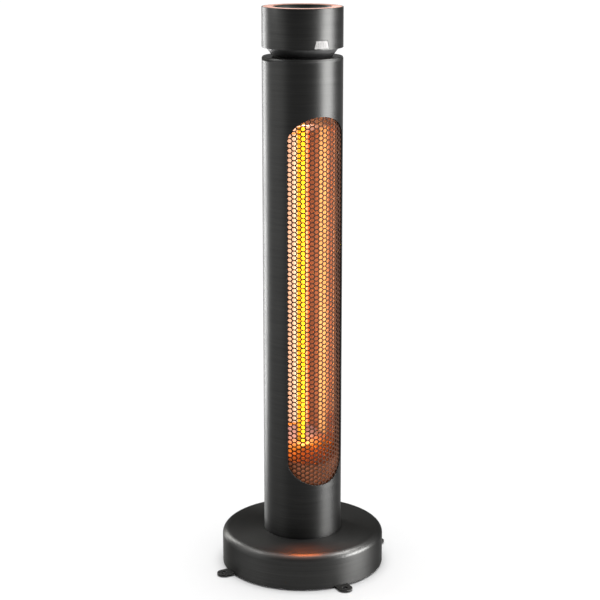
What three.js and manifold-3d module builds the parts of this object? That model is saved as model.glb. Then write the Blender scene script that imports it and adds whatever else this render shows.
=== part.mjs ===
// Infrared patio heater tower: a weighted round base, a tall sheet-metal tube with a round-ended
// window for its radiant lamp, and a control head on a narrow neck.
// Millimetres, +Z up. The window faces -Y, and the origin is on the floor under the base's middle.
// Angles round the tower are measured from the front, positive towards +X.
import * as THREE from 'three';
import { mergeVertices } from 'three/addons/utils/BufferGeometryUtils.js';
import Module from 'manifold-3d';

const wasm = await Module();
wasm.setup();

// ---- Driving dimensions ----

// Shared clearances and sheet
const FIT = 0.3; // between pieces that drop into or pass through each other
const STEEL = 1.5; // tube, cover and flange sheet
const THIN = 0.8; // reflector, shield and grille sheet
const ROUND_SIDES = 32; // facets round the tower
const BASE_SIDES = 40; // facets round the base
const SMALL_SIDES = 12; // facets round pieces a few centimetres across
const HEX_SIDES = 6; // screws, nuts and the grille's openings
const EDGE_STEPS = 3; // facets over the base's rounded edge
const ARC_STEPS = 12; // facets of other arcs
const CHAMFER = 1; // on turned edges

// Base
const BASE_RADIUS = 115;
const BASE_HEIGHT = 50;
const BASE_EDGE_RADIUS = 9.5;
const COVER_LIFT = 2; // the cover's lower edge above the floor
const FOOT_HEIGHT = 4;
const FOOT_RADIUS = 9;
const FOOT_INSET = 9.5; // between a foot and the cover's wall
const PLATE_THICKNESS = 2;
const WIRE_WELL_RADIUS = 34;
const COVER_HOLE_RADIUS = 30;

// Anchor tabs
const TAB_THICKNESS = 2;
const TAB_WIDTH = 20.5;
const TAB_REACH = 10.5; // from the cover's side to the anchor hole's middle
const TAB_HOLE_RADIUS = 3.4;
const TAB_GRIP = 15.5; // from the cover's wall in to the tab's screw
const TAB_SCREW_RADIUS = 2;
const TAB_SCREW_LENGTH = 12;

// Tip-over switch
const PLUNGER_RADIUS = 3;
const PLUNGER_TRAVEL = 4;
const SWITCH_Y = -12;
const SWITCH_WIDTH = 28;
const SWITCH_DEPTH = 16;
const SWITCH_HEIGHT = 20;
const SWITCH_ROOF = 2;
const PLUNGER_COLLAR = 1.5; // how far the collar stands out from the stem
const COLLAR_THICKNESS = 2;
const PLUNGER_FOOT_HEIGHT = 2.5;

// Cord gland
const GLAND_HEIGHT = 27; // axis above the floor
const GLAND_THREAD_RADIUS = 8;
const GLAND_BORE_RADIUS = 3.6;
const GLAND_REACH = 16; // how far the gland stands behind the cover
const GLAND_FLANGE = 3; // how far the flange stands out from the thread
const GLAND_FLANGE_THICKNESS = 3.5;
const GLAND_COLLAR_LENGTH = 6;
const GLAND_WALL = 2;
const NUT_RADIUS = 12;
const NUT_THICKNESS = 4;

// Terminal block in the well of the ballast
const TERMINAL_WIDTH = 36;
const TERMINAL_FRONT = 10;
const TERMINAL_DEPTH = 14;
const TERMINAL_HEIGHT = 16;
const TERMINAL_PITCH = 8;
const TERMINAL_WELL_RADIUS = 2;
const TERMINAL_WELL_DEPTH = 6;

// Tower tube and its window
const TUBE_RADIUS = 55;
const TUBE_LENGTH = 669;
const WINDOW_SILL = 79; // above the tube's foot
const WINDOW_HEADROOM = 71.5; // from the window's top to the tube's
const WINDOW_HALF_ANGLE = 50.27; // degrees round the tube
const WINDOW_END_RISE = 34;

// Mast flange
const FLANGE_THICKNESS = 2;
const FLANGE_WALL_HEIGHT = 14;
const FLANGE_HOLE_RADIUS = 22;
const BOLT_CIRCLE = 38;
const BOLT_RADIUS = 2.5;
const BOLT_LENGTH = 10;
const BOLT_HEAD_HEIGHT = 4;

// Supply board on the flange's floor
const SUPPLY_WIDTH = 72;
const SUPPLY_HEIGHT = 60;
const SUPPLY_Y = -20;
const PART_RISE = 12; // height of the relay and transformer on the board
const PART_GAP = 4; // from the board's middle to each of them
const RELAY_SIDE = 20;
const RELAY_DEPTH = 16;
const TRANSFORMER_WIDTH = 26;
const TRANSFORMER_HEIGHT = 24;
const TRANSFORMER_DEPTH = 18;
const CAPACITOR_RADIUS = 5;
const CAPACITOR_LENGTH = 17;

// Mesh grille: six-sided openings in half-offset columns
const GRILLE_COLUMNS = 3; // on each side of the middle column
const GRILLE_ROWS = 24;
const GRILLE_WEB = 2.2;
const GRILLE_LAP = 9; // how far the sheet runs past the window's ends
const GRILLE_STRETCH = 1.04; // how much wider than regular the openings are

// Reflector trough and its end plates
const TROUGH_FRONT = -18;
const TROUGH_LIP = 3.36; // width of the lip along each side
const TROUGH_BACK_ROOM = 12.2; // between the trough's back and the heat shield
const TROUGH_RISE = 19; // of its foot above the window's sill
const TROUGH_OVERRUN = 2.5; // of its top above the window's
const TROUGH_FACETS = 12;
const END_SLOPE = 22; // degrees
const BOTTOM_END_RISE = 45; // of the plate's back edge above the trough's foot
const TOP_END_DROP = 38; // of the plate's back edge below the trough's top
const END_PLATE_THICKNESS = 1;
const END_LIP_HALF_ANGLE = 52; // degrees
const END_LIP_DROP = 5; // of the lip below the window's sill
const LINER_GAP = 1.9; // between the grille and what lies behind it

// Heat shield and its screws
const SHIELD_RISE = 9; // of its foot above the window's sill
const SHIELD_OVERRUN = 15.5; // of its top above the window's
const REAR_SCREW_ANGLE = 35; // degrees from the back
const REAR_SCREW_RADIUS = 1.6;
const REAR_SCREW_LENGTH = 7;
const REAR_SCREW_INSET = 20; // from the shield's ends
const REAR_SCREW_HEAD = 1.8; // height of the head

// Lamp
const LAMP_Y = 3;
const LAMP_RADIUS = 6;
const LAMP_WALL = 1;
const LAMP_RISE = 29; // of its foot above the window's sill
const LAMP_DROP = 0.5; // of its top below the window's
const LAMP_CAP_RADIUS = 9;
const LAMP_CAP_LENGTH = 24;
const LAMP_CAP_SOCKET = 14;
const CLIP_WIDTH = 10;
const CLIP_THICKNESS = 1.2;
const CLIP_COLLAR_HEIGHT = 4;
const CLIP_TONGUE = 12; // height of the tongue against the trough
const ELEMENT_THICKNESS = 0.75;

// Thermal cut-out behind the trough
const CUTOUT_WIDTH = 16;
const CUTOUT_HEIGHT = 22;
const CUTOUT_DEPTH = 5;
const CUTOUT_BUTTON_RADIUS = 5;
const CUTOUT_BUTTON_DEPTH = 2;

// Wiring loom
const LOOM_RADIUS = 3;
const LOOM_CLEARANCE = 2.3; // between the loom and the shield
const LOOM_ANGLE = 21; // degrees from the back
const LOOM_STRAIGHT = 25; // straight runs before and after its bends
const LOOM_BEND = 40;
const LOOM_STEPS = 24;
const LOOM_TOP_CIRCLE = 21.5; // where it goes up through the neck

// Cap, neck and head
const CAP_HEIGHT = 4.5;
const CAP_SKIN = 2;
const CAP_HOLE_RADIUS = 34;
const CAP_SPIGOT = 8;
const NECK_HEIGHT = 12;
const NECK_FOOT_RADIUS = 40.5;
const NECK_TOP_RADIUS = 49.5;
const NECK_WALL = 2;
const HEAD_HEIGHT = 54;
const HEAD_WALL = 3.5;
const HEAD_RIM = 1.5;
const HEAD_FLOOR = 2.5;
const HEAD_HOLE_RADIUS = 38;
const HEAD_EDGE = 0.5; // chamfer of the head's edges

// Control panel, ring and buttons
const RING_THICKNESS = 3.25;
const RING_INNER_RADIUS = 39.5;
const PANEL_FLANGE = 2;
const PANEL_FLOOR = 2;
const PANEL_DEPTH = 5; // below the head's top
const PANEL_WALL = 1.25;
const BUTTON_RADIUS = 5.2;
const BUTTON_PROUD = 0.6;
const BUTTON_CIRCLE = 20;
const BUTTON_TRAVEL = 0.8;
const BUTTON_FLANGE = 1.3; // how far the flange stands out under the panel
const BUTTON_FLANGE_THICKNESS = 1;
const BUTTON_EDGE = 0.5;
const BOARD_THICKNESS = 1.5;
const BOARD_DROP = 5; // board's top below the panel floor
const BOARD_RADIUS = 36;
const BOSS_RADIUS = 3;
const BOSS_ANGLES = [45, 165, 285]; // degrees
const TACT_SIDE = 6;
const TACT_GAP = 0.4; // left under a button that is fully pressed

// Display in the head's front
const DISPLAY_BOTTOM_WIDTH = 21.5;
const DISPLAY_TOP_WIDTH = 17;
const DISPLAY_SILL = 1.75;
const DISPLAY_HEIGHT = 10.25;
const DISPLAY_GAP = 2.1; // between the head's wall and the display board
const DISPLAY_BOARD_WIDTH = 24;
const DISPLAY_BOARD_HEIGHT = 14;
const DISPLAY_LAMPS_WIDTH = 12;

// ---- Sizes that follow ----

const radians = THREE.MathUtils.degToRad;
const baseTop = COVER_LIFT + BASE_HEIGHT;
const coverInner = BASE_RADIUS - STEEL;
const plateRadius = coverInner - FIT;
const plateTop = FOOT_HEIGHT + PLATE_THICKNESS;
const ballastTop = baseTop - STEEL - FIT;
const footCircle = coverInner - FOOT_INSET - FOOT_RADIUS;
const tabHoleCircle = BASE_RADIUS + TAB_REACH;
const tabScrewCircle = coverInner - TAB_GRIP;
const terminalMiddle = TERMINAL_FRONT + TERMINAL_DEPTH / 2;
const tubeInner = TUBE_RADIUS - STEEL;
const grilleOuter = tubeInner - 2 * FIT;
const linerRadius = grilleOuter - THIN - LINER_GAP;
const windowTop = TUBE_LENGTH - WINDOW_HEADROOM; // heights above the tube's foot
const windowHalfWidth = TUBE_RADIUS * Math.sin(radians(WINDOW_HALF_ANGLE));
const troughLipEnd = Math.sqrt(linerRadius ** 2 - TROUGH_FRONT ** 2);
const troughHalfWidth = troughLipEnd - TROUGH_LIP;
const troughDepth = linerRadius - TROUGH_BACK_ROOM - TROUGH_FRONT;
const troughFoot = WINDOW_SILL + TROUGH_RISE;
const troughTop = windowTop + TROUGH_OVERRUN;
const bottomEndBack = troughFoot + BOTTOM_END_RISE;
const topEndBack = troughTop - TOP_END_DROP;
const shieldFoot = WINDOW_SILL + SHIELD_RISE;
const shieldTop = windowTop + SHIELD_OVERRUN;
const lampFoot = WINDOW_SILL + LAMP_RISE;
const lampTop = windowTop - LAMP_DROP;
const capTop = TUBE_LENGTH + CAP_HEIGHT;
const neckTop = capTop + NECK_HEIGHT;
const quarterTurns = [0, 1, 2, 3].map((turn) => turn * Math.PI / 2);
const diagonals = quarterTurns.map((angle) => angle + Math.PI / 4);

// ---- Materials ----

function finish(color, roughness, metalness) {
  return new THREE.MeshStandardMaterial({ color, roughness, metalness });
}

const darkSteel = finish(0x2f2f2e, 0.42, 0.75);
const plainSteel = finish(0x9a9c9e, 0.4, 0.9);
const meshSteel = finish(0x241d18, 0.55, 0.7);
const mirrorSteel = finish(0xb98a62, 0.2, 1);
const endPlateSteel = finish(0x8d7a68, 0.35, 0.9);
const copper = finish(0xd9977c, 0.25, 1);
const concrete = finish(0x8c8a86, 0.95, 0);
const rubber = finish(0x1c1c1c, 0.85, 0);
const blackPlastic = finish(0x1d1f1f, 0.45, 0);
const paleLens = finish(0xd8d6d2, 0.2, 0);
const circuitBoard = finish(0x1f5a37, 0.55, 0);
const ceramic = finish(0xe6e1d6, 0.6, 0);
const quartz = finish(0xffe9c0, 0.06, 0);
const glowing = finish(0xffa52e, 0.6, 0);
const wireSheath = finish(0x30302e, 0.7, 0);

// ---- Shape helpers ----

function toSolid(geometry) {
  const bare = geometry.clone();
  bare.deleteAttribute('normal');
  bare.deleteAttribute('uv');
  const merged = mergeVertices(bare, 1e-4);
  const corners = merged.index.array;
  const triangles = [];
  for (let i = 0; i < corners.length; i += 3) {
    const [a, b, c] = [corners[i], corners[i + 1], corners[i + 2]];
    if (a !== b && b !== c && c !== a) triangles.push(a, b, c);
  }
  return new wasm.Manifold(new wasm.Mesh({
    numProp: 3,
    vertProperties: new Float32Array(merged.attributes.position.array),
    triVerts: new Uint32Array(triangles),
  }));
}

function fromSolid(solid) {
  const mesh = solid.getMesh();
  const geometry = new THREE.BufferGeometry();
  geometry.setAttribute('position', new THREE.Float32BufferAttribute(mesh.vertProperties, 3));
  geometry.setIndex(new THREE.Uint32BufferAttribute(mesh.triVerts, 1));
  geometry.computeVertexNormals();
  return geometry;
}

function cut(body, ...tools) {
  return fromSolid(tools.reduce((solid, tool) => solid.subtract(toSolid(tool)), toSolid(body)));
}

function join(first, ...others) {
  return fromSolid(others.reduce((solid, other) => solid.add(toSolid(other)), toSolid(first)));
}

function common(first, second) {
  return fromSolid(toSolid(first).intersect(toSolid(second)));
}

function arcPoints(x, y, radiusX, radiusY, from, to, steps) {
  return Array.from({ length: steps + 1 }, (_, i) => {
    const angle = from + (to - from) * i / steps;
    return new THREE.Vector2(x + radiusX * Math.cos(angle), y + radiusY * Math.sin(angle));
  });
}

// A profile of [radius, height] pairs turned round the Z axis
function revolve(profile, sides) {
  const points = profile.map(([radius, height]) => new THREE.Vector2(radius, height));
  return new THREE.LatheGeometry(points, sides).rotateX(Math.PI / 2);
}

function ring(inner, outer, bottom, top, sides) {
  const profile = [[outer, bottom], [outer, top], [inner, top], [inner, bottom], [outer, bottom]];
  return revolve(profile, sides);
}

function rod(radius, bottom, top, sides) {
  return new THREE.CylinderGeometry(radius, radius, top - bottom, sides)
    .rotateX(Math.PI / 2).translate(0, 0, (bottom + top) / 2);
}

function block(left, right, front, back, bottom, top) {
  return new THREE.BoxGeometry(right - left, back - front, top - bottom)
    .translate((left + right) / 2, (front + back) / 2, (bottom + top) / 2);
}

// A plan outline raised from one height to another
function prism(points, bottom, top, holes = []) {
  const shape = new THREE.Shape(points);
  shape.holes = holes.map((hole) => new THREE.Path(hole));
  return new THREE.ExtrudeGeometry(shape, { depth: top - bottom, bevelEnabled: false })
    .translate(0, 0, bottom);
}

// A front-view outline of (x, z) points swept from one depth to another
function frontPrism(points, front, back) {
  return new THREE.ExtrudeGeometry(new THREE.Shape(points), { depth: back - front, bevelEnabled: false })
    .rotateX(Math.PI / 2).translate(0, back, 0);
}

// A rod that lies along a radius of the tower
function spoke(radius, inner, outer, angle, height, sides) {
  return rod(radius, inner, outer, sides).rotateX(Math.PI / 2).rotateZ(angle).translate(0, 0, height);
}

// Sheet bent round the tower's axis between two angles
function bentSheet(inner, outer, from, to, bottom, top, steps) {
  const turn = -Math.PI / 2;
  const outerArc = arcPoints(0, 0, outer, outer, from + turn, to + turn, steps);
  const innerArc = arcPoints(0, 0, inner, inner, from + turn, to + turn, steps);
  return prism([...outerArc, ...innerArc.reverse()], bottom, top);
}

// Place something at a distance from the axis, in a direction
function outAt(geometry, distance, angle) {
  return geometry.translate(0, -distance, 0).rotateZ(angle);
}

// Drum profile from its lower outer corner, over the rounded edge, to its top face
function drumSide(radius, bottom, top, edge, steps) {
  const round = arcPoints(radius - edge, top - edge, edge, edge, 0, Math.PI / 2, steps);
  return [[radius, bottom], ...round.map((point) => [point.x, point.y])];
}

function addPiece(parent, name, geometry, material) {
  const mesh = new THREE.Mesh(geometry, material);
  mesh.name = name;
  parent.add(mesh);
  return mesh;
}

// ---- Base ----

function baseCover() {
  const outer = drumSide(BASE_RADIUS, COVER_LIFT, baseTop, BASE_EDGE_RADIUS, EDGE_STEPS);
  const inner = drumSide(coverInner, COVER_LIFT, baseTop - STEEL, BASE_EDGE_RADIUS - STEEL, EDGE_STEPS);
  const holeEdge = [[COVER_HOLE_RADIUS, baseTop], [COVER_HOLE_RADIUS, baseTop - STEEL]];
  const shell = revolve([...outer, ...holeEdge, ...inner.reverse(), outer[0]], BASE_SIDES);
  const notchHalf = TAB_WIDTH / 2 + FIT;
  const notches = quarterTurns.map((angle) => block(-notchHalf, notchHalf, -BASE_RADIUS - STEEL,
    -coverInner + 2 * STEEL, 0, FOOT_HEIGHT + FIT).rotateZ(angle));
  const boltHoles = diagonals.map((angle) => outAt(
    rod(BOLT_RADIUS + FIT, baseTop - 2 * STEEL, baseTop + STEEL, HEX_SIDES), BOLT_CIRCLE, angle));
  const glandHole = spoke(GLAND_THREAD_RADIUS + FIT, coverInner - STEEL, BASE_RADIUS + STEEL,
    Math.PI, GLAND_HEIGHT, SMALL_SIDES);
  return cut(shell, ...notches, ...boltHoles, glandHole);
}

function basePlate() {
  const disc = rod(plateRadius, FOOT_HEIGHT, plateTop, BASE_SIDES);
  const screwHoles = quarterTurns.map((angle) => outAt(
    rod(TAB_SCREW_RADIUS + FIT, FOOT_HEIGHT - 1, plateTop + 1, HEX_SIDES), tabScrewCircle, angle));
  const plungerHole = outAt(
    rod(PLUNGER_RADIUS + 2 * FIT, FOOT_HEIGHT - 1, plateTop + 1, SMALL_SIDES), -SWITCH_Y, 0);
  return cut(disc, ...screwHoles, plungerHole);
}

function ballastWeight() {
  const side = drumSide(plateRadius, plateTop, ballastTop, BASE_EDGE_RADIUS - STEEL - FIT, 2);
  const well = [[WIRE_WELL_RADIUS, ballastTop], [WIRE_WELL_RADIUS, plateTop], side[0]];
  const fill = revolve([...side, ...well], BASE_SIDES);
  const channelHalf = NUT_RADIUS + 1;
  const channel = block(-channelHalf, channelHalf, WIRE_WELL_RADIUS / 2, BASE_RADIUS,
    GLAND_HEIGHT - channelHalf, GLAND_HEIGHT + channelHalf);
  const boltHoles = diagonals.map((angle) => outAt(
    rod(BOLT_RADIUS + FIT, baseTop + FLANGE_THICKNESS - BOLT_LENGTH - FIT, baseTop, HEX_SIDES),
    BOLT_CIRCLE, angle));
  const screwHoles = quarterTurns.map((angle) => outAt(
    rod(TAB_SCREW_RADIUS + FIT, plateTop - 1, FOOT_HEIGHT - TAB_THICKNESS + TAB_SCREW_LENGTH + FIT,
      HEX_SIDES),
    tabScrewCircle, angle));
  return cut(fill, channel, ...boltHoles, ...screwHoles);
}

function rubberFoot(angle) {
  const profile = [[0, 0], [FOOT_RADIUS - CHAMFER, 0], [FOOT_RADIUS, CHAMFER], [FOOT_RADIUS, FOOT_HEIGHT],
    [0, FOOT_HEIGHT]];
  return outAt(revolve(profile, SMALL_SIDES), footCircle, angle);
}

// Profile of a countersunk screw seated in a tab, with a gap all round for the tab's hole
function tabScrewProfile(gap, end) {
  const seat = FOOT_HEIGHT - TAB_THICKNESS;
  const shank = TAB_SCREW_RADIUS + gap;
  return [[0, seat], [2 * TAB_SCREW_RADIUS + gap, seat], [shank, FOOT_HEIGHT], [shank, end], [0, end]];
}

// A flat strap with a round end, held under the plate by one screw
function anchorTab(angle) {
  const half = TAB_WIDTH / 2;
  const inner = tabScrewCircle - half;
  const end = arcPoints(0, -tabHoleCircle, half, half, Math.PI, 2 * Math.PI, ARC_STEPS);
  const outline = [...end, new THREE.Vector2(half, -inner), new THREE.Vector2(-half, -inner)];
  const hole = arcPoints(0, -tabHoleCircle, TAB_HOLE_RADIUS, TAB_HOLE_RADIUS, 0, 2 * Math.PI, SMALL_SIDES);
  const strap = prism(outline, FOOT_HEIGHT - TAB_THICKNESS, FOOT_HEIGHT, [hole.slice(1)]);
  const screwHole = revolve(tabScrewProfile(FIT, FOOT_HEIGHT + 1), HEX_SIDES);
  return cut(strap, outAt(screwHole, tabScrewCircle, 0)).rotateZ(angle);
}

function tabScrew(angle) {
  const end = FOOT_HEIGHT - TAB_THICKNESS + TAB_SCREW_LENGTH;
  return outAt(revolve(tabScrewProfile(0, end), HEX_SIDES), tabScrewCircle, angle);
}

const plungerCollar = plateTop + 2 * PLUNGER_TRAVEL; // height of the collar's underside when pressed
const collarRadius = PLUNGER_RADIUS + PLUNGER_COLLAR;

function tipSwitch() {
  const top = plateTop + SWITCH_HEIGHT;
  const half = SWITCH_WIDTH / 2;
  const body = block(-half, half, SWITCH_Y - SWITCH_DEPTH / 2, SWITCH_Y + SWITCH_DEPTH / 2, plateTop, top);
  const bore = outAt(rod(PLUNGER_RADIUS + FIT, plateTop - 1, plungerCollar, SMALL_SIDES), -SWITCH_Y, 0);
  const chamber = outAt(
    rod(collarRadius + 2 * FIT, plungerCollar - PLUNGER_TRAVEL - 1, top - SWITCH_ROOF, SMALL_SIDES),
    -SWITCH_Y, 0);
  return cut(body, bore, chamber);
}

function tipPlunger() {
  const footRadius = 2 * PLUNGER_RADIUS;
  const collarTop = plungerCollar + COLLAR_THICKNESS;
  const stemTop = plateTop + SWITCH_HEIGHT - SWITCH_ROOF - PLUNGER_TRAVEL;
  const profile = [[0, 0], [footRadius - CHAMFER, 0], [footRadius, CHAMFER],
    [footRadius, PLUNGER_FOOT_HEIGHT], [PLUNGER_RADIUS, PLUNGER_FOOT_HEIGHT],
    [PLUNGER_RADIUS, plungerCollar], [collarRadius, plungerCollar], [collarRadius, collarTop],
    [PLUNGER_RADIUS, collarTop], [PLUNGER_RADIUS, stemTop], [0, stemTop]];
  return outAt(revolve(profile, SMALL_SIDES), -SWITCH_Y, 0);
}

// Pieces turned about the gland's own axis, which points to the rear
function onGlandAxis(profile, sides) {
  return revolve(profile, sides).rotateX(-Math.PI / 2).translate(0, 0, GLAND_HEIGHT);
}

const nutSeat = Math.sqrt(coverInner ** 2 - NUT_RADIUS ** 2) - 2 * FIT;

function cordGland() {
  const seat = BASE_RADIUS + FIT;
  const start = nutSeat - NUT_THICKNESS - 2;
  const reach = BASE_RADIUS + GLAND_REACH;
  const flange = GLAND_THREAD_RADIUS + GLAND_FLANGE;
  return onGlandAxis([
    [GLAND_THREAD_RADIUS, start], [GLAND_THREAD_RADIUS, seat], [flange, seat],
    [flange, seat + GLAND_FLANGE_THICKNESS], [GLAND_THREAD_RADIUS, seat + GLAND_COLLAR_LENGTH],
    [GLAND_BORE_RADIUS + GLAND_WALL, reach], [GLAND_BORE_RADIUS, reach], [GLAND_BORE_RADIUS, start],
    [GLAND_THREAD_RADIUS, start],
  ], SMALL_SIDES);
}

function glandNut() {
  const bore = GLAND_THREAD_RADIUS + FIT;
  const blank = rod(NUT_RADIUS, nutSeat - NUT_THICKNESS, nutSeat, HEX_SIDES);
  const hole = rod(bore, nutSeat - NUT_THICKNESS - 1, nutSeat + 1, SMALL_SIDES);
  return cut(blank, hole).rotateX(-Math.PI / 2).translate(0, 0, GLAND_HEIGHT);
}

function terminalBlock() {
  const half = TERMINAL_WIDTH / 2;
  const top = plateTop + TERMINAL_HEIGHT;
  const body = block(-half, half, TERMINAL_FRONT, TERMINAL_FRONT + TERMINAL_DEPTH, plateTop, top);
  const wells = [-1.5, -0.5, 0.5, 1.5].map((step) => rod(
    TERMINAL_WELL_RADIUS, top - TERMINAL_WELL_DEPTH, top + 1, HEX_SIDES)
    .translate(step * TERMINAL_PITCH, terminalMiddle, 0));
  return cut(body, ...wells);
}

function buildBase() {
  const base = new THREE.Group();
  addPiece(base, 'base_cover', baseCover(), darkSteel);
  addPiece(base, 'base_plate', basePlate(), plainSteel);
  addPiece(base, 'ballast_weight', ballastWeight(), concrete);
  addPiece(base, 'tip_switch', tipSwitch(), blackPlastic);
  addPiece(base, 'tip_plunger', tipPlunger(), blackPlastic);
  addPiece(base, 'cord_gland', cordGland(), blackPlastic);
  addPiece(base, 'gland_nut', glandNut(), blackPlastic);
  addPiece(base, 'terminal_block', terminalBlock(), ceramic);
  diagonals.forEach((angle, i) => addPiece(base, `rubber_foot_${i + 1}`, rubberFoot(angle), rubber));
  quarterTurns.forEach((angle, i) => {
    addPiece(base, `anchor_tab_${i + 1}`, anchorTab(angle), darkSteel);
    addPiece(base, `tab_screw_${i + 1}`, tabScrew(angle), plainSteel);
  });
  return base;
}

// ---- Tower, from the top of the base up ----

function windowOutline() {
  const centreLow = WINDOW_SILL + WINDOW_END_RISE;
  const centreHigh = windowTop - WINDOW_END_RISE;
  const top = arcPoints(0, centreHigh, windowHalfWidth, WINDOW_END_RISE, 0, Math.PI, ARC_STEPS);
  const bottom = arcPoints(0, centreLow, windowHalfWidth, WINDOW_END_RISE, Math.PI, 2 * Math.PI,
    ARC_STEPS);
  return [...top, ...bottom];
}

const screwHeights = [shieldFoot + REAR_SCREW_INSET, shieldTop - REAR_SCREW_INSET];
const rearScrewPlaces = screwHeights.flatMap((height) => [-1, 1].map((side) => ({
  height,
  angle: Math.PI + side * radians(REAR_SCREW_ANGLE),
})));

function towerTube() {
  const tube = ring(tubeInner, TUBE_RADIUS, 0, TUBE_LENGTH, ROUND_SIDES);
  const window = frontPrism(windowOutline(), -TUBE_RADIUS - STEEL, 0);
  const screwHoles = rearScrewPlaces.map(({ angle, height }) => spoke(
    REAR_SCREW_RADIUS + FIT, tubeInner - STEEL, TUBE_RADIUS + STEEL, angle, height, HEX_SIDES));
  return cut(tube, window, ...screwHoles);
}

function mastFlange() {
  const outer = tubeInner - FIT;
  const inner = outer - STEEL;
  const cup = revolve([[outer, 0], [outer, FLANGE_WALL_HEIGHT], [inner, FLANGE_WALL_HEIGHT],
    [inner, FLANGE_THICKNESS], [FLANGE_HOLE_RADIUS, FLANGE_THICKNESS], [FLANGE_HOLE_RADIUS, 0],
    [outer, 0]], ROUND_SIDES);
  const boltHoles = diagonals.map((angle) => outAt(
    rod(BOLT_RADIUS + FIT, -1, FLANGE_THICKNESS + 1, HEX_SIDES), BOLT_CIRCLE, angle));
  return cut(cup, ...boltHoles);
}

function flangeBolt(angle) {
  const head = rod(2 * BOLT_RADIUS, FLANGE_THICKNESS, FLANGE_THICKNESS + BOLT_HEAD_HEIGHT, HEX_SIDES);
  const shank = rod(BOLT_RADIUS, FLANGE_THICKNESS - BOLT_LENGTH, FLANGE_THICKNESS + 1, HEX_SIDES);
  return outAt(join(head, shank), BOLT_CIRCLE, angle);
}

// The supply board stands on the flange's floor, with its relay, transformer and capacitor
function powerBoard() {
  const half = SUPPLY_WIDTH / 2;
  const foot = FLANGE_THICKNESS;
  const rise = foot + PART_RISE;
  const front = SUPPLY_Y - BOARD_THICKNESS / 2;
  const sheet = block(-half, half, front, front + BOARD_THICKNESS, foot, foot + SUPPLY_HEIGHT);
  const relay = block(-PART_GAP - RELAY_SIDE, -PART_GAP, SUPPLY_Y, SUPPLY_Y + RELAY_DEPTH,
    rise, rise + RELAY_SIDE);
  const transformer = block(PART_GAP, PART_GAP + TRANSFORMER_WIDTH, SUPPLY_Y,
    SUPPLY_Y + TRANSFORMER_DEPTH, rise, rise + TRANSFORMER_HEIGHT);
  const capacitor = rod(CAPACITOR_RADIUS, SUPPLY_Y, SUPPLY_Y + CAPACITOR_LENGTH, SMALL_SIDES)
    .rotateX(-Math.PI / 2).translate(-half / 2, 0, rise + RELAY_SIDE + CAPACITOR_RADIUS + PART_GAP);
  return join(sheet, relay, transformer, capacitor);
}

// Flat layout of the grille as (arc length, height): corner points of every opening, and the
// triangles of the webs between them. Openings at the sheet's edges are filled in.
function grilleLayout() {
  const last = GRILLE_ROWS - 1;
  const height = windowTop - WINDOW_SILL + 2 * GRILLE_LAP;
  const pitch = (height - GRILLE_WEB) / (last + 0.5);
  const halfHigh = (pitch - GRILLE_WEB) / 2;
  const tip = GRILLE_STRETCH * (pitch - GRILLE_WEB) / Math.sqrt(3);
  const columnPitch = GRILLE_STRETCH * pitch * Math.sqrt(3) / 2;
  const foot = WINDOW_SILL - GRILLE_LAP + GRILLE_WEB / 2;
  const tips = [tip, tip / 2, -tip / 2, -tip, -tip / 2, tip / 2];
  const rises = [0, halfHigh, halfHigh, 0, -halfHigh, -halfHigh];
  const isRaised = (i) => Math.abs(i % 2) === 1;
  const isThere = (i, j) => Math.abs(i) <= GRILLE_COLUMNS && j >= 0 && j <= last;
  const corner = (i, j, k) => ((i + GRILLE_COLUMNS) * GRILLE_ROWS + j) * HEX_SIDES + k;
  const points = [];
  const triangles = [];

  for (let i = -GRILLE_COLUMNS; i <= GRILLE_COLUMNS; i += 1) {
    for (let j = 0; j <= last; j += 1) {
      const centre = (j + (isRaised(i) ? 0.5 : 0)) * pitch;
      for (let k = 0; k < HEX_SIDES; k += 1) {
        const outerTip = (i === GRILLE_COLUMNS && k === 0) || (i === -GRILLE_COLUMNS && k === 3);
        const x = i * columnPitch + (outerTip ? tips[k] / 2 : tips[k]);
        let z = centre + rises[k];
        if (j === 0 && rises[k] < 0) z = -GRILLE_WEB / 2;
        if (j === last && rises[k] > 0) z = (last + 0.5) * pitch + GRILLE_WEB / 2;
        points.push([x, foot + z]);
      }
    }
  }

  const fill = (...corners) => {
    for (let n = 1; n < corners.length - 1; n += 1) triangles.push([corners[0], corners[n], corners[n + 1]]);
  };
  for (let i = -GRILLE_COLUMNS; i <= GRILLE_COLUMNS; i += 1) {
    for (let j = 0; j <= last; j += 1) {
      const at = (k) => corner(i, j, k);
      const upper = j + (isRaised(i) ? 1 : 0); // row of the upper right neighbour
      const hasAbove = isThere(i, j + 1);
      const hasUpper = isThere(i + 1, upper);
      const hasLower = isThere(i + 1, upper - 1);
      const isSolid = Math.abs(i) === GRILLE_COLUMNS || j === 0 || j === last;
      if (isSolid) fill(at(0), at(1), at(2), at(3), at(4), at(5));
      if (hasAbove) fill(at(2), at(1), corner(i, j + 1, 5), corner(i, j + 1, 4));
      if (hasUpper) fill(at(0), corner(i + 1, upper, 4), corner(i + 1, upper, 3), at(1));
      if (hasLower) fill(at(5), corner(i + 1, upper - 1, 3), corner(i + 1, upper - 1, 2), at(0));
      if (hasUpper && hasLower) fill(at(0), corner(i + 1, upper - 1, 2), corner(i + 1, upper, 4));
      if (hasUpper && hasAbove) fill(at(1), corner(i + 1, upper, 3), corner(i, j + 1, 5));
    }
    if (i === GRILLE_COLUMNS) continue;
    const [low, high] = [corner(i, 0, 0), corner(i, last, 0)];
    const [nextLow, nextHigh] = [corner(i + 1, 0, 0), corner(i + 1, last, 0)];
    if (isRaised(i)) {
      fill(low + 5, nextLow + 4, nextLow + 3);
      fill(high + 1, high, nextHigh + 2);
    } else {
      fill(low + 5, nextLow + 4, low);
      fill(high + 1, nextHigh + 3, nextHigh + 2);
    }
  }
  return { points, triangles };
}

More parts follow.
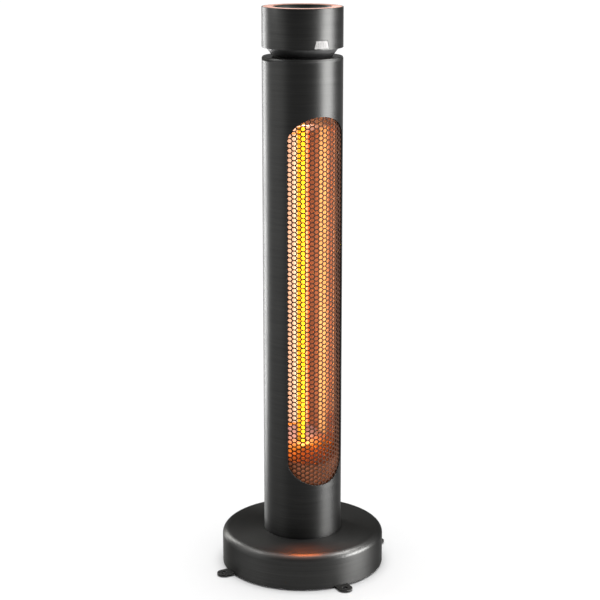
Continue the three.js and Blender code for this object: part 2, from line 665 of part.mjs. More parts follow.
// Bends a flat layout round the axis at two radii and closes its edges with walls
function bentLayout({ points, triangles }, inner, outer) {
  const positions = [];
  for (const radius of [outer, inner]) {
    for (const [arc, height] of points) {
      const angle = arc / ((inner + outer) / 2);
      positions.push(radius * Math.sin(angle), -radius * Math.cos(angle), height);
    }
  }
  const inside = points.length;
  const index = [];
  const edges = new Set(triangles.flatMap(([a, b, c]) => [`${a}/${b}`, `${b}/${c}`, `${c}/${a}`]));
  for (const [a, b, c] of triangles) {
    index.push(a, b, c, inside + c, inside + b, inside + a);
    for (const [from, to] of [[a, b], [b, c], [c, a]]) {
      if (edges.has(`${to}/${from}`)) continue;
      index.push(to, from, inside + from, to, inside + from, inside + to);
    }
  }
  const geometry = new THREE.BufferGeometry();
  geometry.setAttribute('position', new THREE.Float32BufferAttribute(positions, 3));
  geometry.setIndex(index);
  geometry.computeVertexNormals();
  return geometry;
}

// Plan of the trough's half ellipse, set off outwards from its inner face, from right to left
function troughArc(offset) {
  return arcPoints(0, TROUGH_FRONT, troughHalfWidth + offset, troughDepth + offset, 0, Math.PI,
    TROUGH_FACETS);
}

function reflectorTrough() {
  const inner = troughArc(0);
  const outer = troughArc(THIN).slice(1, -1);
  const lipBack = TROUGH_FRONT + THIN;
  const lip = (side) => [new THREE.Vector2(side * troughLipEnd, TROUGH_FRONT),
    new THREE.Vector2(side * troughLipEnd, lipBack),
    new THREE.Vector2(side * (troughHalfWidth + THIN), lipBack)];
  const outline = [...inner, ...lip(-1), ...outer.reverse(), ...lip(1).reverse()];
  return prism(outline, troughFoot, troughTop);
}

// Outline of an end plate: round in front, where it meets the grille, and inside the trough behind
function endPlateOutline() {
  const front = TROUGH_FRONT - FIT;
  const reach = Math.acos(-front / linerRadius);
  const round = arcPoints(0, 0, linerRadius, linerRadius, -Math.PI / 2 - reach, -Math.PI / 2 + reach,
    ARC_STEPS);
  const back = arcPoints(0, front, troughHalfWidth - FIT, troughDepth - FIT, 0, Math.PI, TROUGH_FACETS);
  return [...round, ...back];
}

// A slab through the back edge of an end plate, sloping down to the front for a positive slope
function slopedSlab(backHeight, slope, thickness, lift) {
  const reach = 2 * TUBE_RADIUS;
  return block(-reach, reach, -reach, reach, lift, lift + thickness)
    .rotateX(slope).translate(0, TROUGH_FRONT + troughDepth, backHeight);
}

const lampHole = () => rod(LAMP_RADIUS + 2, lampFoot, lampTop, SMALL_SIDES).translate(0, LAMP_Y, 0);

function bottomEndPlate() {
  const slope = radians(END_SLOPE);
  const column = prism(endPlateOutline(), WINDOW_SILL, topEndBack);
  const plate = common(column, slopedSlab(bottomEndBack, slope, END_PLATE_THICKNESS, 0));
  const lipAngle = radians(END_LIP_HALF_ANGLE);
  const lipFoot = WINDOW_SILL - END_LIP_DROP;
  const lip = bentSheet(linerRadius - THIN, linerRadius, -lipAngle, lipAngle, lipFoot, bottomEndBack,
    ARC_STEPS);
  const above = slopedSlab(bottomEndBack, slope, TUBE_LENGTH, END_PLATE_THICKNESS / 2);
  return cut(join(plate, cut(lip, above)), lampHole());
}

function topEndPlate() {
  const column = prism(endPlateOutline(), bottomEndBack, TUBE_LENGTH);
  const slab = slopedSlab(topEndBack, -radians(END_SLOPE), END_PLATE_THICKNESS, 0);
  return cut(common(column, slab), lampHole());
}

function heatShield() {
  const inner = linerRadius + FIT;
  const edge = Math.acos(-TROUGH_FRONT / (inner + THIN));
  const sheet = bentSheet(inner, inner + THIN, edge, 2 * Math.PI - edge, shieldFoot, shieldTop,
    2 * ARC_STEPS);
  const holes = rearScrewPlaces.map(({ angle, height }) => spoke(
    REAR_SCREW_RADIUS + FIT, inner - STEEL, inner + STEEL, angle, height, HEX_SIDES));
  return cut(sheet, ...holes);
}

function rearScrew({ angle, height }) {
  const seat = TUBE_RADIUS + FIT;
  const head = spoke(2.5 * REAR_SCREW_RADIUS, seat, seat + REAR_SCREW_HEAD, angle, height, HEX_SIDES);
  const shank = spoke(REAR_SCREW_RADIUS, seat - REAR_SCREW_LENGTH, seat + 1, angle, height, HEX_SIDES);
  return join(head, shank);
}

// A ceramic cap with a blind socket for the end of the lamp; turned over for the upper end
function lampCap(end, isUpper) {
  const socket = LAMP_RADIUS + FIT;
  const closed = LAMP_CAP_SOCKET - LAMP_CAP_LENGTH;
  const cap = revolve([[0, closed], [LAMP_CAP_RADIUS - CHAMFER, closed], [LAMP_CAP_RADIUS, closed + CHAMFER],
    [LAMP_CAP_RADIUS, LAMP_CAP_SOCKET], [socket, LAMP_CAP_SOCKET], [socket, 0], [0, 0]], SMALL_SIDES);
  if (isUpper) cap.rotateX(Math.PI);
  return cap.translate(0, LAMP_Y, end);
}

// A spring collar round a lamp cap, with an arm back to the trough
function lampClip(height) {
  const bore = LAMP_CAP_RADIUS + FIT;
  const collar = ring(bore, bore + CLIP_THICKNESS, height, height + CLIP_COLLAR_HEIGHT, SMALL_SIDES)
    .translate(0, LAMP_Y, 0);
  const facet = Math.PI / TROUGH_FACETS;
  const half = CLIP_WIDTH / 2;
  const drop = troughDepth * (1 - Math.cos(facet)) * half / (troughHalfWidth * Math.sin(facet));
  const troughBack = TROUGH_FRONT + troughDepth - drop - FIT;
  const arm = block(-half, half, LAMP_Y + bore + CLIP_THICKNESS / 2, troughBack, height,
    height + CLIP_THICKNESS);
  const tongue = block(-half, half, troughBack - CLIP_THICKNESS, troughBack, height, height + CLIP_TONGUE);
  return join(collar, arm, tongue);
}

function quartzTube() {
  return ring(LAMP_RADIUS - LAMP_WALL, LAMP_RADIUS, lampFoot, lampTop, SMALL_SIDES).translate(0, LAMP_Y, 0);
}

function carbonElement() {
  const half = LAMP_RADIUS - LAMP_WALL - FIT;
  const halfThick = ELEMENT_THICKNESS / 2;
  return block(-half, half, LAMP_Y - halfThick, LAMP_Y + halfThick, lampFoot, lampTop);
}

function thermalCutout() {
  const seat = TROUGH_FRONT + troughDepth + THIN + FIT;
  const middle = (troughFoot + troughTop) / 2;
  const halfWidth = CUTOUT_WIDTH / 2;
  const halfHigh = CUTOUT_HEIGHT / 2;
  const face = seat + CUTOUT_DEPTH;
  const body = block(-halfWidth, halfWidth, seat, face, middle - halfHigh, middle + halfHigh);
  const button = rod(CUTOUT_BUTTON_RADIUS, face - 1, face + CUTOUT_BUTTON_DEPTH, SMALL_SIDES)
    .rotateX(-Math.PI / 2).translate(0, 0, middle);
  return join(body, button);
}

const panelFloorTop = HEAD_HEIGHT - PANEL_DEPTH; // heights above the head's underside
const panelFloorBottom = panelFloorTop - PANEL_FLOOR;
const boardTop = panelFloorBottom - BOARD_DROP;
const tactHeight = BOARD_DROP - FIT - BUTTON_FLANGE_THICKNESS - BUTTON_TRAVEL - TACT_GAP;

// Supply wires bound into one loom, from the terminal block up behind the shield to the head
function wiringLoom() {
  const start = plateTop + TERMINAL_HEIGHT + FIT - baseTop;
  const end = neckTop + boardTop - BOARD_THICKNESS - FIT;
  const turn = radians(LOOM_ANGLE);
  const behind = (distance) => [distance * Math.sin(turn), distance * Math.cos(turn)];
  const low = [TERMINAL_PITCH, terminalMiddle];
  const back = behind(linerRadius - LOOM_CLEARANCE - LOOM_RADIUS);
  const high = behind(LOOM_TOP_CIRCLE);
  const path = new THREE.CatmullRomCurve3([
    new THREE.Vector3(...low, start),
    new THREE.Vector3(...low, start + LOOM_STRAIGHT),
    new THREE.Vector3(...low, FLANGE_WALL_HEIGHT),
    new THREE.Vector3(...back, shieldFoot),
    new THREE.Vector3(...back, shieldFoot + LOOM_BEND),
    new THREE.Vector3(...back, TUBE_LENGTH / 2),
    new THREE.Vector3(...back, shieldTop - LOOM_STRAIGHT),
    new THREE.Vector3(...back, shieldTop + LOOM_RADIUS),
    new THREE.Vector3(...high, TUBE_LENGTH),
    new THREE.Vector3(...high, neckTop),
    new THREE.Vector3(...high, end),
  ], false, 'centripetal');
  const section = new THREE.Shape(arcPoints(0, 0, LOOM_RADIUS, LOOM_RADIUS, 0, 2 * Math.PI, HEX_SIDES)
    .slice(1));
  return new THREE.ExtrudeGeometry(section, { steps: LOOM_STEPS, bevelEnabled: false, extrudePath: path });
}

function tubeCap() {
  const spigot = tubeInner - FIT;
  const skin = CAP_HEIGHT - CAP_SKIN;
  return revolve([[spigot, -CAP_SPIGOT], [spigot, 0], [TUBE_RADIUS, 0],
    [TUBE_RADIUS, CAP_HEIGHT - CHAMFER], [TUBE_RADIUS - CHAMFER, CAP_HEIGHT],
    [CAP_HOLE_RADIUS, CAP_HEIGHT], [CAP_HOLE_RADIUS, skin], [spigot - STEEL, 0],
    [spigot - STEEL, -CAP_SPIGOT], [spigot, -CAP_SPIGOT]], ROUND_SIDES).translate(0, 0, TUBE_LENGTH);
}

function buildTower() {
  const tower = new THREE.Group();
  tower.position.z = baseTop;
  const lowCapClosed = lampFoot + LAMP_CAP_SOCKET - LAMP_CAP_LENGTH;
  const highCapOpen = lampTop - LAMP_CAP_SOCKET;
  addPiece(tower, 'tower_tube', towerTube(), darkSteel);
  addPiece(tower, 'mast_flange', mastFlange(), plainSteel);
  addPiece(tower, 'power_board', powerBoard(), circuitBoard);
  addPiece(tower, 'mesh_grille', bentLayout(grilleLayout(), grilleOuter - THIN, grilleOuter), meshSteel);
  addPiece(tower, 'reflector', reflectorTrough(), mirrorSteel);
  addPiece(tower, 'reflector_bottom_end', bottomEndPlate(), endPlateSteel);
  addPiece(tower, 'reflector_top_end', topEndPlate(), endPlateSteel);
  addPiece(tower, 'heat_shield', heatShield(), plainSteel);
  addPiece(tower, 'quartz_tube', quartzTube(), quartz);
  addPiece(tower, 'carbon_element', carbonElement(), glowing);
  addPiece(tower, 'lamp_cap_bottom', lampCap(lampFoot, false), ceramic);
  addPiece(tower, 'lamp_cap_top', lampCap(lampTop, true), ceramic);
  addPiece(tower, 'lamp_clip_bottom', lampClip(lowCapClosed + CLIP_COLLAR_HEIGHT), plainSteel);
  addPiece(tower, 'lamp_clip_top', lampClip(highCapOpen + CLIP_TONGUE), plainSteel);
  addPiece(tower, 'thermal_cutout', thermalCutout(), blackPlastic);
  addPiece(tower, 'wiring_loom', wiringLoom(), wireSheath);
  addPiece(tower, 'tube_cap', tubeCap(), darkSteel);
  diagonals.forEach((angle, i) => addPiece(tower, `flange_bolt_${i + 1}`, flangeBolt(angle), plainSteel));
  rearScrewPlaces.forEach((place, i) => addPiece(tower, `rear_screw_${i + 1}`, rearScrew(place), plainSteel));
  return tower;
}

// ---- Head, from the top of the neck up ----

function neckCone() {
  const lowSpigot = CAP_HOLE_RADIUS - FIT;
  const highSpigot = HEAD_HOLE_RADIUS - FIT;
  const foot = -NECK_HEIGHT;
  return revolve([[lowSpigot, foot - CAP_SKIN], [lowSpigot, foot], [NECK_FOOT_RADIUS, foot],
    [NECK_TOP_RADIUS, 0], [highSpigot, 0], [highSpigot, HEAD_FLOOR], [highSpigot - NECK_WALL, HEAD_FLOOR],
    [lowSpigot - NECK_WALL, foot - CAP_SKIN], [lowSpigot, foot - CAP_SKIN]], ROUND_SIDES);
}

function displayOutline(margin) {
  const bottomHalf = DISPLAY_BOTTOM_WIDTH / 2 + margin;
  const topHalf = DISPLAY_TOP_WIDTH / 2 + margin;
  const low = DISPLAY_SILL - margin;
  const high = DISPLAY_SILL + DISPLAY_HEIGHT + margin;
  return [[-bottomHalf, low], [bottomHalf, low], [topHalf, high], [-topHalf, high]]
    .map(([x, z]) => new THREE.Vector2(x, z));
}

const ledge = HEAD_HEIGHT - RING_THICKNESS - PANEL_FLANGE; // where the control panel's flange sits

function headShell() {
  const inner = TUBE_RADIUS - HEAD_WALL;
  const rim = TUBE_RADIUS - HEAD_RIM;
  const edge = TUBE_RADIUS - HEAD_EDGE;
  const shell = revolve([[edge, 0], [TUBE_RADIUS, HEAD_EDGE], [TUBE_RADIUS, HEAD_HEIGHT - HEAD_EDGE],
    [edge, HEAD_HEIGHT], [rim, HEAD_HEIGHT], [rim, ledge], [inner, ledge], [inner, HEAD_FLOOR],
    [HEAD_HOLE_RADIUS, HEAD_FLOOR], [HEAD_HOLE_RADIUS, 0], [edge, 0]], ROUND_SIDES);
  return cut(shell, frontPrism(displayOutline(FIT), -TUBE_RADIUS - STEEL, HEAD_WALL - inner));
}

function displayWindow() {
  const plug = frontPrism(displayOutline(0), -TUBE_RADIUS - STEEL, -TUBE_RADIUS / 2);
  const lens = ring(TUBE_RADIUS - HEAD_WALL + FIT, TUBE_RADIUS, 0, HEAD_HEIGHT, ROUND_SIDES);
  return common(plug, lens);
}

function displayBoard() {
  const half = DISPLAY_BOARD_WIDTH / 2;
  const lampsHalf = DISPLAY_LAMPS_WIDTH / 2;
  const face = DISPLAY_GAP + HEAD_WALL - TUBE_RADIUS;
  const back = face + BOARD_THICKNESS;
  const sheet = block(-half, half, face, back, HEAD_FLOOR, HEAD_FLOOR + DISPLAY_BOARD_HEIGHT);
  const lamps = block(-lampsHalf, lampsHalf, face - BOARD_THICKNESS, back - BOARD_THICKNESS / 2,
    DISPLAY_SILL + BOARD_THICKNESS, DISPLAY_SILL + DISPLAY_HEIGHT);
  return join(sheet, lamps);
}

const buttonNames = ['power_button', 'plus_button', 'timer_button', 'minus_button'];

function controlPanel() {
  const wallOuter = RING_INNER_RADIUS - FIT;
  const wallInner = wallOuter - PANEL_WALL;
  const flangeOuter = TUBE_RADIUS - HEAD_RIM - FIT;
  const flangeTop = ledge + PANEL_FLANGE;
  const cup = revolve([[0, panelFloorBottom], [wallOuter, panelFloorBottom], [wallOuter, ledge],
    [flangeOuter, ledge], [flangeOuter, flangeTop], [wallOuter, flangeTop],
    [wallOuter, HEAD_HEIGHT - FIT], [wallInner, HEAD_HEIGHT - FIT], [wallInner, panelFloorTop],
    [0, panelFloorTop]], ROUND_SIDES);
  const bosses = BOSS_ANGLES.map((angle) => outAt(
    rod(BOSS_RADIUS, boardTop, panelFloorBottom + 1, HEX_SIDES), BOARD_RADIUS - 2 * BOSS_RADIUS,
    radians(angle)));
  const holes = quarterTurns.map((angle) => outAt(
    rod(BUTTON_RADIUS + FIT, panelFloorBottom - 1, panelFloorTop + 1, SMALL_SIDES), BUTTON_CIRCLE, angle));
  return cut(join(cup, ...bosses), ...holes);
}

function controlButton(angle) {
  const flange = BUTTON_RADIUS + BUTTON_FLANGE;
  const flangeTop = panelFloorBottom - FIT;
  const flangeBottom = flangeTop - BUTTON_FLANGE_THICKNESS;
  const top = panelFloorTop + BUTTON_PROUD;
  return outAt(revolve([[0, flangeBottom], [flange, flangeBottom], [flange, flangeTop],
    [BUTTON_RADIUS, flangeTop], [BUTTON_RADIUS, top - BUTTON_EDGE], [BUTTON_RADIUS - BUTTON_EDGE, top],
    [0, top]], SMALL_SIDES), BUTTON_CIRCLE, angle);
}

function buildHead() {
  const head = new THREE.Group();
  head.position.z = baseTop + neckTop;
  addPiece(head, 'neck_cone', neckCone(), blackPlastic);
  addPiece(head, 'head_shell', headShell(), darkSteel);
  addPiece(head, 'trim_ring', ring(RING_INNER_RADIUS, TUBE_RADIUS - HEAD_RIM - FIT,
    HEAD_HEIGHT - RING_THICKNESS, HEAD_HEIGHT, ROUND_SIDES), copper);
  addPiece(head, 'control_panel', controlPanel(), blackPlastic);
  const controlBoard = rod(BOARD_RADIUS, boardTop - BOARD_THICKNESS, boardTop, ROUND_SIDES);
  addPiece(head, 'control_board', controlBoard, circuitBoard);
  addPiece(head, 'display_window', displayWindow(), paleLens);
  addPiece(head, 'display_board', displayBoard(), circuitBoard);
  quarterTurns.forEach((angle, i) => {
    addPiece(head, buttonNames[i], controlButton(angle), blackPlastic);
    const half = TACT_SIDE / 2;
    const tact = block(-half, half, -half, half, boardTop, boardTop + tactHeight);
    addPiece(head, `tact_switch_${i + 1}`, outAt(tact, BUTTON_CIRCLE, angle), blackPlastic);
  });
  return head;
}

const heater = new THREE.Group();
heater.add(buildBase(), buildTower(), buildHead());

export default heater;
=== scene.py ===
"""Looks of the patio heater tower: fine shells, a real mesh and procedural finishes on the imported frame.

Metres, +Z up, and the window faces -Y. Angles round the tower run from the front towards +X.
"""
import logging
import math
from dataclasses import dataclass, field
from enum import Enum
from typing import Callable

import bmesh
import bpy
from mathutils import Matrix, Vector


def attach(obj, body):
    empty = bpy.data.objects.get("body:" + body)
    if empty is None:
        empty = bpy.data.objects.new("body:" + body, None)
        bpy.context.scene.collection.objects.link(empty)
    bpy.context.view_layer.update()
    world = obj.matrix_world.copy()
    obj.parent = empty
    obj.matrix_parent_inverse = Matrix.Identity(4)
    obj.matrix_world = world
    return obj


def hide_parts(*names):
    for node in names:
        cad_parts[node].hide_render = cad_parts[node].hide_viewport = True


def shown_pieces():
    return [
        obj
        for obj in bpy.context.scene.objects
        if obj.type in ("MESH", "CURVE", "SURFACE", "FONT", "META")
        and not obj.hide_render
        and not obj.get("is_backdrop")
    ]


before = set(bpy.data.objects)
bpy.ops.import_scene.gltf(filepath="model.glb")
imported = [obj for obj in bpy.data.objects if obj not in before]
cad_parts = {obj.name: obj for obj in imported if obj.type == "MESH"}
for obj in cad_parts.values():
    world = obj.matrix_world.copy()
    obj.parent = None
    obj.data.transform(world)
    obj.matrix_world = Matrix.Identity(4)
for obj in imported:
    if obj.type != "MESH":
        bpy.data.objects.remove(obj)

LOG = logging.getLogger("heater")
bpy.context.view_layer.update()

Node, Socket, Thing = bpy.types.Node, bpy.types.NodeSocket, bpy.types.Object
Colour = tuple[float, float, float]
Profile = list[tuple[float, float]]
MM = 0.001


# ---- Node trees ----


class NodeGraph:
    """A node tree, with short calls that add nodes and join them."""

    def __init__(self, tree: bpy.types.NodeTree) -> None:
        """Wraps a tree."""
        self.tree = tree

    def add(self, kind: str, inputs: dict | None = None, **settings) -> Node:
        """Adds one shader node.

        Args:
            kind: the node's type name after ShaderNode.
            inputs: values or source sockets, by input name or index.
            **settings: attributes of the node.

        Returns:
            The node.
        """
        node = self.tree.nodes.new(f"ShaderNode{kind}")
        for key, value in settings.items():
            setattr(node, key, value)
        for key, value in (inputs or {}).items():
            if isinstance(value, Socket):
                self.tree.links.new(value, node.inputs[key])
            else:
                node.inputs[key].default_value = value
        return node

    def math(self, operation: str, *values: Socket | float) -> Socket:
        """Returns the result of a Math node."""
        return self.add("Math", dict(enumerate(values)), operation=operation).outputs[0]

    def plus(self, first: Socket, second: Socket | float) -> Socket:
        """Returns a sum."""
        return self.math("ADD", first, second)

    def times(self, first: Socket, second: Socket | float) -> Socket:
        """Returns a product."""
        return self.math("MULTIPLY", first, second)

    def vector(self, operation: str, inputs: dict):
        """Returns the outputs of a Vector Math node."""
        return self.add("VectorMath", inputs, operation=operation).outputs

    def place(self) -> Socket:
        """Returns the object's own coordinates."""
        return self.add("TexCoord").outputs["Object"]

    def part(self, vector: Socket, axis: int) -> Socket:
        """Returns one part of a vector."""
        return self.add("SeparateXYZ", {0: vector}).outputs[axis]

    def remap(self, value: Socket, low: float, high: float, start: float = 0.0, end: float = 1.0) -> Socket:
        """Returns value moved from the range low..high to start..end, and held inside it."""
        sockets = {"Value": value, "From Min": low, "From Max": high, "To Min": start, "To Max": end}
        return self.add("MapRange", sockets).outputs["Result"]

    def blend(self, factor: Socket | float, first: Socket | Colour, second: Socket | Colour,
              how: str = "MIX") -> Socket:
        """Returns the colour between first and second at the factor."""
        sockets = {0: factor, 6: rgba(first), 7: rgba(second)}
        return self.add("Mix", sockets, data_type="RGBA", blend_type=how).outputs[2]

    def noise(self, vector: Socket, scale: Socket | float, detail: float = 2.0, rough: float = 0.55) -> Socket:
        """Returns the value of a Noise Texture."""
        sockets = {"Vector": vector, "Scale": scale, "Detail": detail, "Roughness": rough}
        return self.add("TexNoise", sockets).outputs[0]


def rgba(value: Socket | Colour):
    """Returns a colour with its alpha, or a socket as it is."""
    return value if isinstance(value, Socket) else (*value[:3], 1.0)


class EffectGroup:
    """A shader node group that several materials share. Subclasses fill it."""

    name = ""
    inputs: dict[str, float] = {}
    outputs: tuple[str, ...] = ()

    def tree(self) -> bpy.types.NodeTree:
        """Returns the group, which is made the first time."""
        known = bpy.data.node_groups.get(self.name)
        if known:
            return known
        tree = bpy.data.node_groups.new(self.name, "ShaderNodeTree")
        for title, value in self.inputs.items():
            socket = tree.interface.new_socket(title, in_out="INPUT", socket_type="NodeSocketFloat")
            socket.default_value = value
        for title in self.outputs:
            tree.interface.new_socket(title, in_out="OUTPUT", socket_type="NodeSocketFloat")
        results = self.fill(NodeGraph(tree), tree.nodes.new("NodeGroupInput").outputs)
        end = tree.nodes.new("NodeGroupOutput")
        for title, socket in results.items():
            tree.links.new(socket, end.inputs[title])
        return tree

    def fill(self, graph: NodeGraph, given) -> dict[str, Socket]:
        """Adds the group's nodes and returns its output sockets by name."""
        raise NotImplementedError

    def use(self, graph: NodeGraph, **values: float):
        """Adds the group to a material with the given inputs and returns its outputs."""
        return graph.add("Group", values, node_tree=self.tree()).outputs


class BrushedStreaks(EffectGroup):
    """Brush marks that run round the Z axis: along the side of a drum and in rings on its top."""

    name = "brushed_streaks"
    inputs = {"Run": 3.0, "Density": 900.0}
    outputs = ("Streak", "Patch", "Height")

    def fill(self, graph: NodeGraph, given) -> dict[str, Socket]:
        """Stretches a noise along the turn."""
        place = graph.place()
        flat = graph.add("CombineXYZ", {0: graph.part(place, 0), 1: graph.part(place, 1)}).outputs[0]
        radius = graph.vector("LENGTH", {0: flat})["Value"]
        turn = graph.vector("NORMALIZE", {0: flat})[0]
        turn = graph.vector("SCALE", {0: turn, 3: given["Run"]})[0]
        across = graph.times(graph.plus(graph.part(place, 2), radius), given["Density"])
        lift = graph.add("CombineXYZ", {2: across}).outputs[0]
        where = graph.vector("ADD", {0: turn, 1: lift})[0]
        fine, broad = graph.noise(where, 1.0, 3.0, 0.7), graph.noise(where, 0.16, 2.0, 0.5)
        streak = graph.plus(graph.times(fine, 0.7), graph.times(broad, 0.3))
        patch = graph.noise(place, 14.0, 3.0)
        return {"Streak": graph.remap(streak, 0.33, 0.67), "Patch": graph.remap(patch, 0.3, 0.7), "Height": fine}


class MouldedGrain(EffectGroup):
    """Fine grain of moulded, cast or baked stuff, with slow mottling."""

    name = "moulded_grain"
    inputs = {"Grain": 2200.0, "Mottle": 60.0}
    outputs = ("Height", "Mottling")

    def fill(self, graph: NodeGraph, given) -> dict[str, Socket]:
        """Mixes small cells with a noise."""
        place, grain = graph.place(), given["Grain"]
        cells = graph.add("TexVoronoi", {"Vector": place, "Scale": grain}).outputs["Distance"]
        height = graph.plus(graph.times(cells, 0.5), graph.times(graph.noise(place, grain, 2.0, 0.5), 0.5))
        mottle = graph.noise(place, given["Mottle"], 4.0, 0.5)
        return {"Height": height, "Mottling": graph.remap(mottle, 0.3, 0.7)}


class EdgeWear(EffectGroup):
    """A mask of edges that are rubbed bright, broken up by noise."""

    name = "edge_wear"
    inputs = {"Reach": 0.04}
    outputs = ("Mask",)

    def fill(self, graph: NodeGraph, given) -> dict[str, Socket]:
        """Takes the mesh's convex edges."""
        sharp = graph.add("NewGeometry").outputs["Pointiness"]
        broken = graph.remap(graph.noise(graph.place(), 220.0, 3.0), 0.35, 0.65, 0.2)
        rise = graph.times(graph.math("SUBTRACT", sharp, graph.plus(given["Reach"], 0.5)), 14.0)
        return {"Mask": graph.times(graph.add("Clamp", {0: rise}).outputs[0], broken)}


class SettledDust(EffectGroup):
    """A mask of dust that lies on upward faces and thickens towards the floor."""

    name = "settled_dust"
    inputs = {"Amount": 0.2}
    outputs = ("Mask",)

    def fill(self, graph: NodeGraph, given) -> dict[str, Socket]:
        """Joins the face's tilt, its height and a noise."""
        geometry = graph.add("NewGeometry").outputs
        up, height = graph.part(geometry["Normal"], 2), graph.part(geometry["Position"], 2)
        lie = graph.plus(graph.remap(height, 0.0, 0.09, 0.5, 0.0), graph.remap(up, 0.3, 1.0))
        specks = graph.remap(graph.noise(geometry["Position"], 900.0, 4.0, 0.75), 0.45, 0.8, 0.15)
        mask = graph.times(graph.times(lie, specks), given["Amount"])
        return {"Mask": graph.add("Clamp", {0: mask}).outputs[0]}


STREAKS, GRAIN, WEAR, DUST = BrushedStreaks(), MouldedGrain(), EdgeWear(), SettledDust()


# ---- Finishes ----

DUST_COLOUR = (0.42, 0.40, 0.37)
BUMP_DEPTH = 0.2 * MM


@dataclass(frozen=True)
class Finish:
    """What every finish has: the record's slot and the plain numbers of its shader."""

    slot: str
    colour: Colour
    second: Colour
    rough: tuple[float, float] = (0.3, 0.5)
    metallic: float = 0.0
    bump: float = 0.1
    dust: float = 0.0
    constants: tuple[tuple[str, float], ...] = ()

    def material(self, name: str) -> bpy.types.Material:
        """Returns the finish's material, which is made the first time."""
        known = bpy.data.materials.get(name)
        if known:
            return known
        material = bpy.data.materials.new(name)
        material.use_nodes = True
        material.diffuse_color = rgba(self.colour)
        shader = material.node_tree.nodes["Principled BSDF"]
        for title, value in (("Metallic", self.metallic), *self.constants):
            shader.inputs[title].default_value = value
        self.paint(NodeGraph(material.node_tree), shader)
        return material

    def paint(self, graph: NodeGraph, shader: Node) -> None:
        """Adds the finish's own nodes."""
        raise NotImplementedError

    def join(self, graph: NodeGraph, shader: Node, colour: Socket, rough: Socket, height: Socket) -> None:
        """Lays dust over a clean surface and links it to the shader.

        Args:
            graph: the material's nodes.
            shader: the material's shader.
            colour: socket of the clean colour.
            rough: socket of the clean roughness.
            height: socket of the relief.
        """
        if self.dust:
            mask = DUST.use(graph, Amount=self.dust)["Mask"]
            colour = graph.blend(mask, colour, DUST_COLOUR)
            rough = graph.plus(rough, graph.times(mask, 0.5))
        bump = graph.add("Bump", {"Height": height, "Strength": self.bump, "Distance": BUMP_DEPTH}).outputs[0]
        for title, socket in (("Base Color", colour), ("Roughness", rough), ("Normal", bump)):
            graph.tree.links.new(socket, shader.inputs[title])


@dataclass(frozen=True)
class BrushedMetal(Finish):
    """Sheet metal brushed round the tower, with rubbed edges."""

    density: float = 900.0
    run: float = 3.0
    worn: Colour = (0.2, 0.2, 0.2)

    def paint(self, graph: NodeGraph, shader: Node) -> None:
        """Streaks the colour and the gloss."""
        marks = STREAKS.use(graph, Density=self.density, Run=self.run)
        base = graph.blend(marks["Streak"], self.colour, self.second)
        base = graph.blend(WEAR.use(graph)["Mask"], base, self.worn)
        gloss = graph.remap(marks["Streak"], 0.0, 1.0, *self.rough)
        gloss = graph.plus(gloss, graph.times(marks["Patch"], 0.05))
        self.join(graph, shader, base, gloss, marks["Height"])


@dataclass(frozen=True)
class Moulded(Finish):
    """Moulded plastic, rubber, ceramic or cast stuff with a fine grain."""

    grain: float = 2200.0
    mottle: float = 60.0

    def paint(self, graph: NodeGraph, shader: Node) -> None:
        """Mottles the colour and grains the surface."""
        grain = GRAIN.use(graph, Grain=self.grain, Mottle=self.mottle)
        base = graph.blend(grain["Mottling"], self.colour, self.second)
        paler = tuple(min(1.0, 1.6 * value + 0.02) for value in self.second)
        base = graph.blend(graph.times(WEAR.use(graph)["Mask"], 0.6), base, paler)
        gloss = graph.remap(grain["Mottling"], 0.0, 1.0, *self.rough)
        self.join(graph, shader, base, gloss, grain["Height"])


@dataclass(frozen=True)
class ReflectorSheet(Finish):
    """Bright sheet near the lamp, clouded between two tones. Any band colours given are painted lamp glow, painted
    reflections and painted shade running from front to back, in millimetres.
    """

    painted_light_bands: tuple[tuple[float, Colour], ...] = ()

    def painted_light_at(self, graph: NodeGraph, place: Socket, cloud: Socket) -> Socket:
        """Returns the painted glow, reflection and shade at a place, broken up by a cloud."""
        first, last = self.painted_light_bands[0][0], self.painted_light_bands[-1][0]
        share = graph.remap(graph.part(place, 1), first * MM, last * MM)
        ramp = graph.add("ValToRGB", {0: graph.plus(share, graph.times(cloud, 0.012))})
        stops = ramp.color_ramp.elements
        while len(stops) < len(self.painted_light_bands):
            stops.new(0.5)
        for stop, (at, colour) in zip(stops, self.painted_light_bands):
            stop.position, stop.color = (at - first) / (last - first), rgba(colour)
        return ramp.outputs[0]

    def paint(self, graph: NodeGraph, shader: Node) -> None:
        """Clouds the colour from one tone to the other, then multiplies in the painted glow, reflections and shade
        where band colours are given.
        """
        place = graph.place()
        squeezed = graph.vector("MULTIPLY", {0: place, 1: (1.0, 1.0, 0.25)})[0]
        cloud = graph.remap(graph.noise(squeezed, 30.0, 3.0), 0.3, 0.7)
        base = graph.blend(cloud, self.colour, self.second)
        if self.painted_light_bands:
            # Painted lamp glow, painted reflections and painted shade, multiplied into the sheet's colour.
            base = graph.blend(1.0, base, self.painted_light_at(graph, place, cloud), "MULTIPLY")
        self.join(graph, shader, base, graph.remap(cloud, 0.0, 1.0, *self.rough), graph.noise(place, 500.0))


@dataclass(frozen=True)
class Glowing(Finish):
    """Something hot: its light fades towards the lamp's ends."""

    strength: float = 5.0
    low: float = 0.165
    high: float = 0.645
    fade: float = 0.035

    def paint(self, graph: NodeGraph, shader: Node) -> None:
        """Colours the light by height."""
        place = graph.place()
        height = graph.part(place, 2)
        foot = graph.remap(height, self.low, self.low + self.fade)
        head = graph.remap(height, self.high - self.fade, self.high, 1.0, 0.0)
        cloud = graph.remap(graph.noise(place, 90.0), 0.3, 0.7, 0.85)
        light = graph.blend(graph.times(graph.times(foot, head), cloud), (0.05, 0.008, 0.0), self.colour)
        gloss = graph.remap(graph.noise(place, 300.0), 0.3, 0.7, *self.rough)
        shader.inputs["Emission Strength"].default_value = self.strength
        base = graph.blend(cloud, self.second, self.colour)
        for title, socket in (("Emission Color", light), ("Roughness", gloss), ("Base Color", base)):
            graph.tree.links.new(socket, shader.inputs[title])


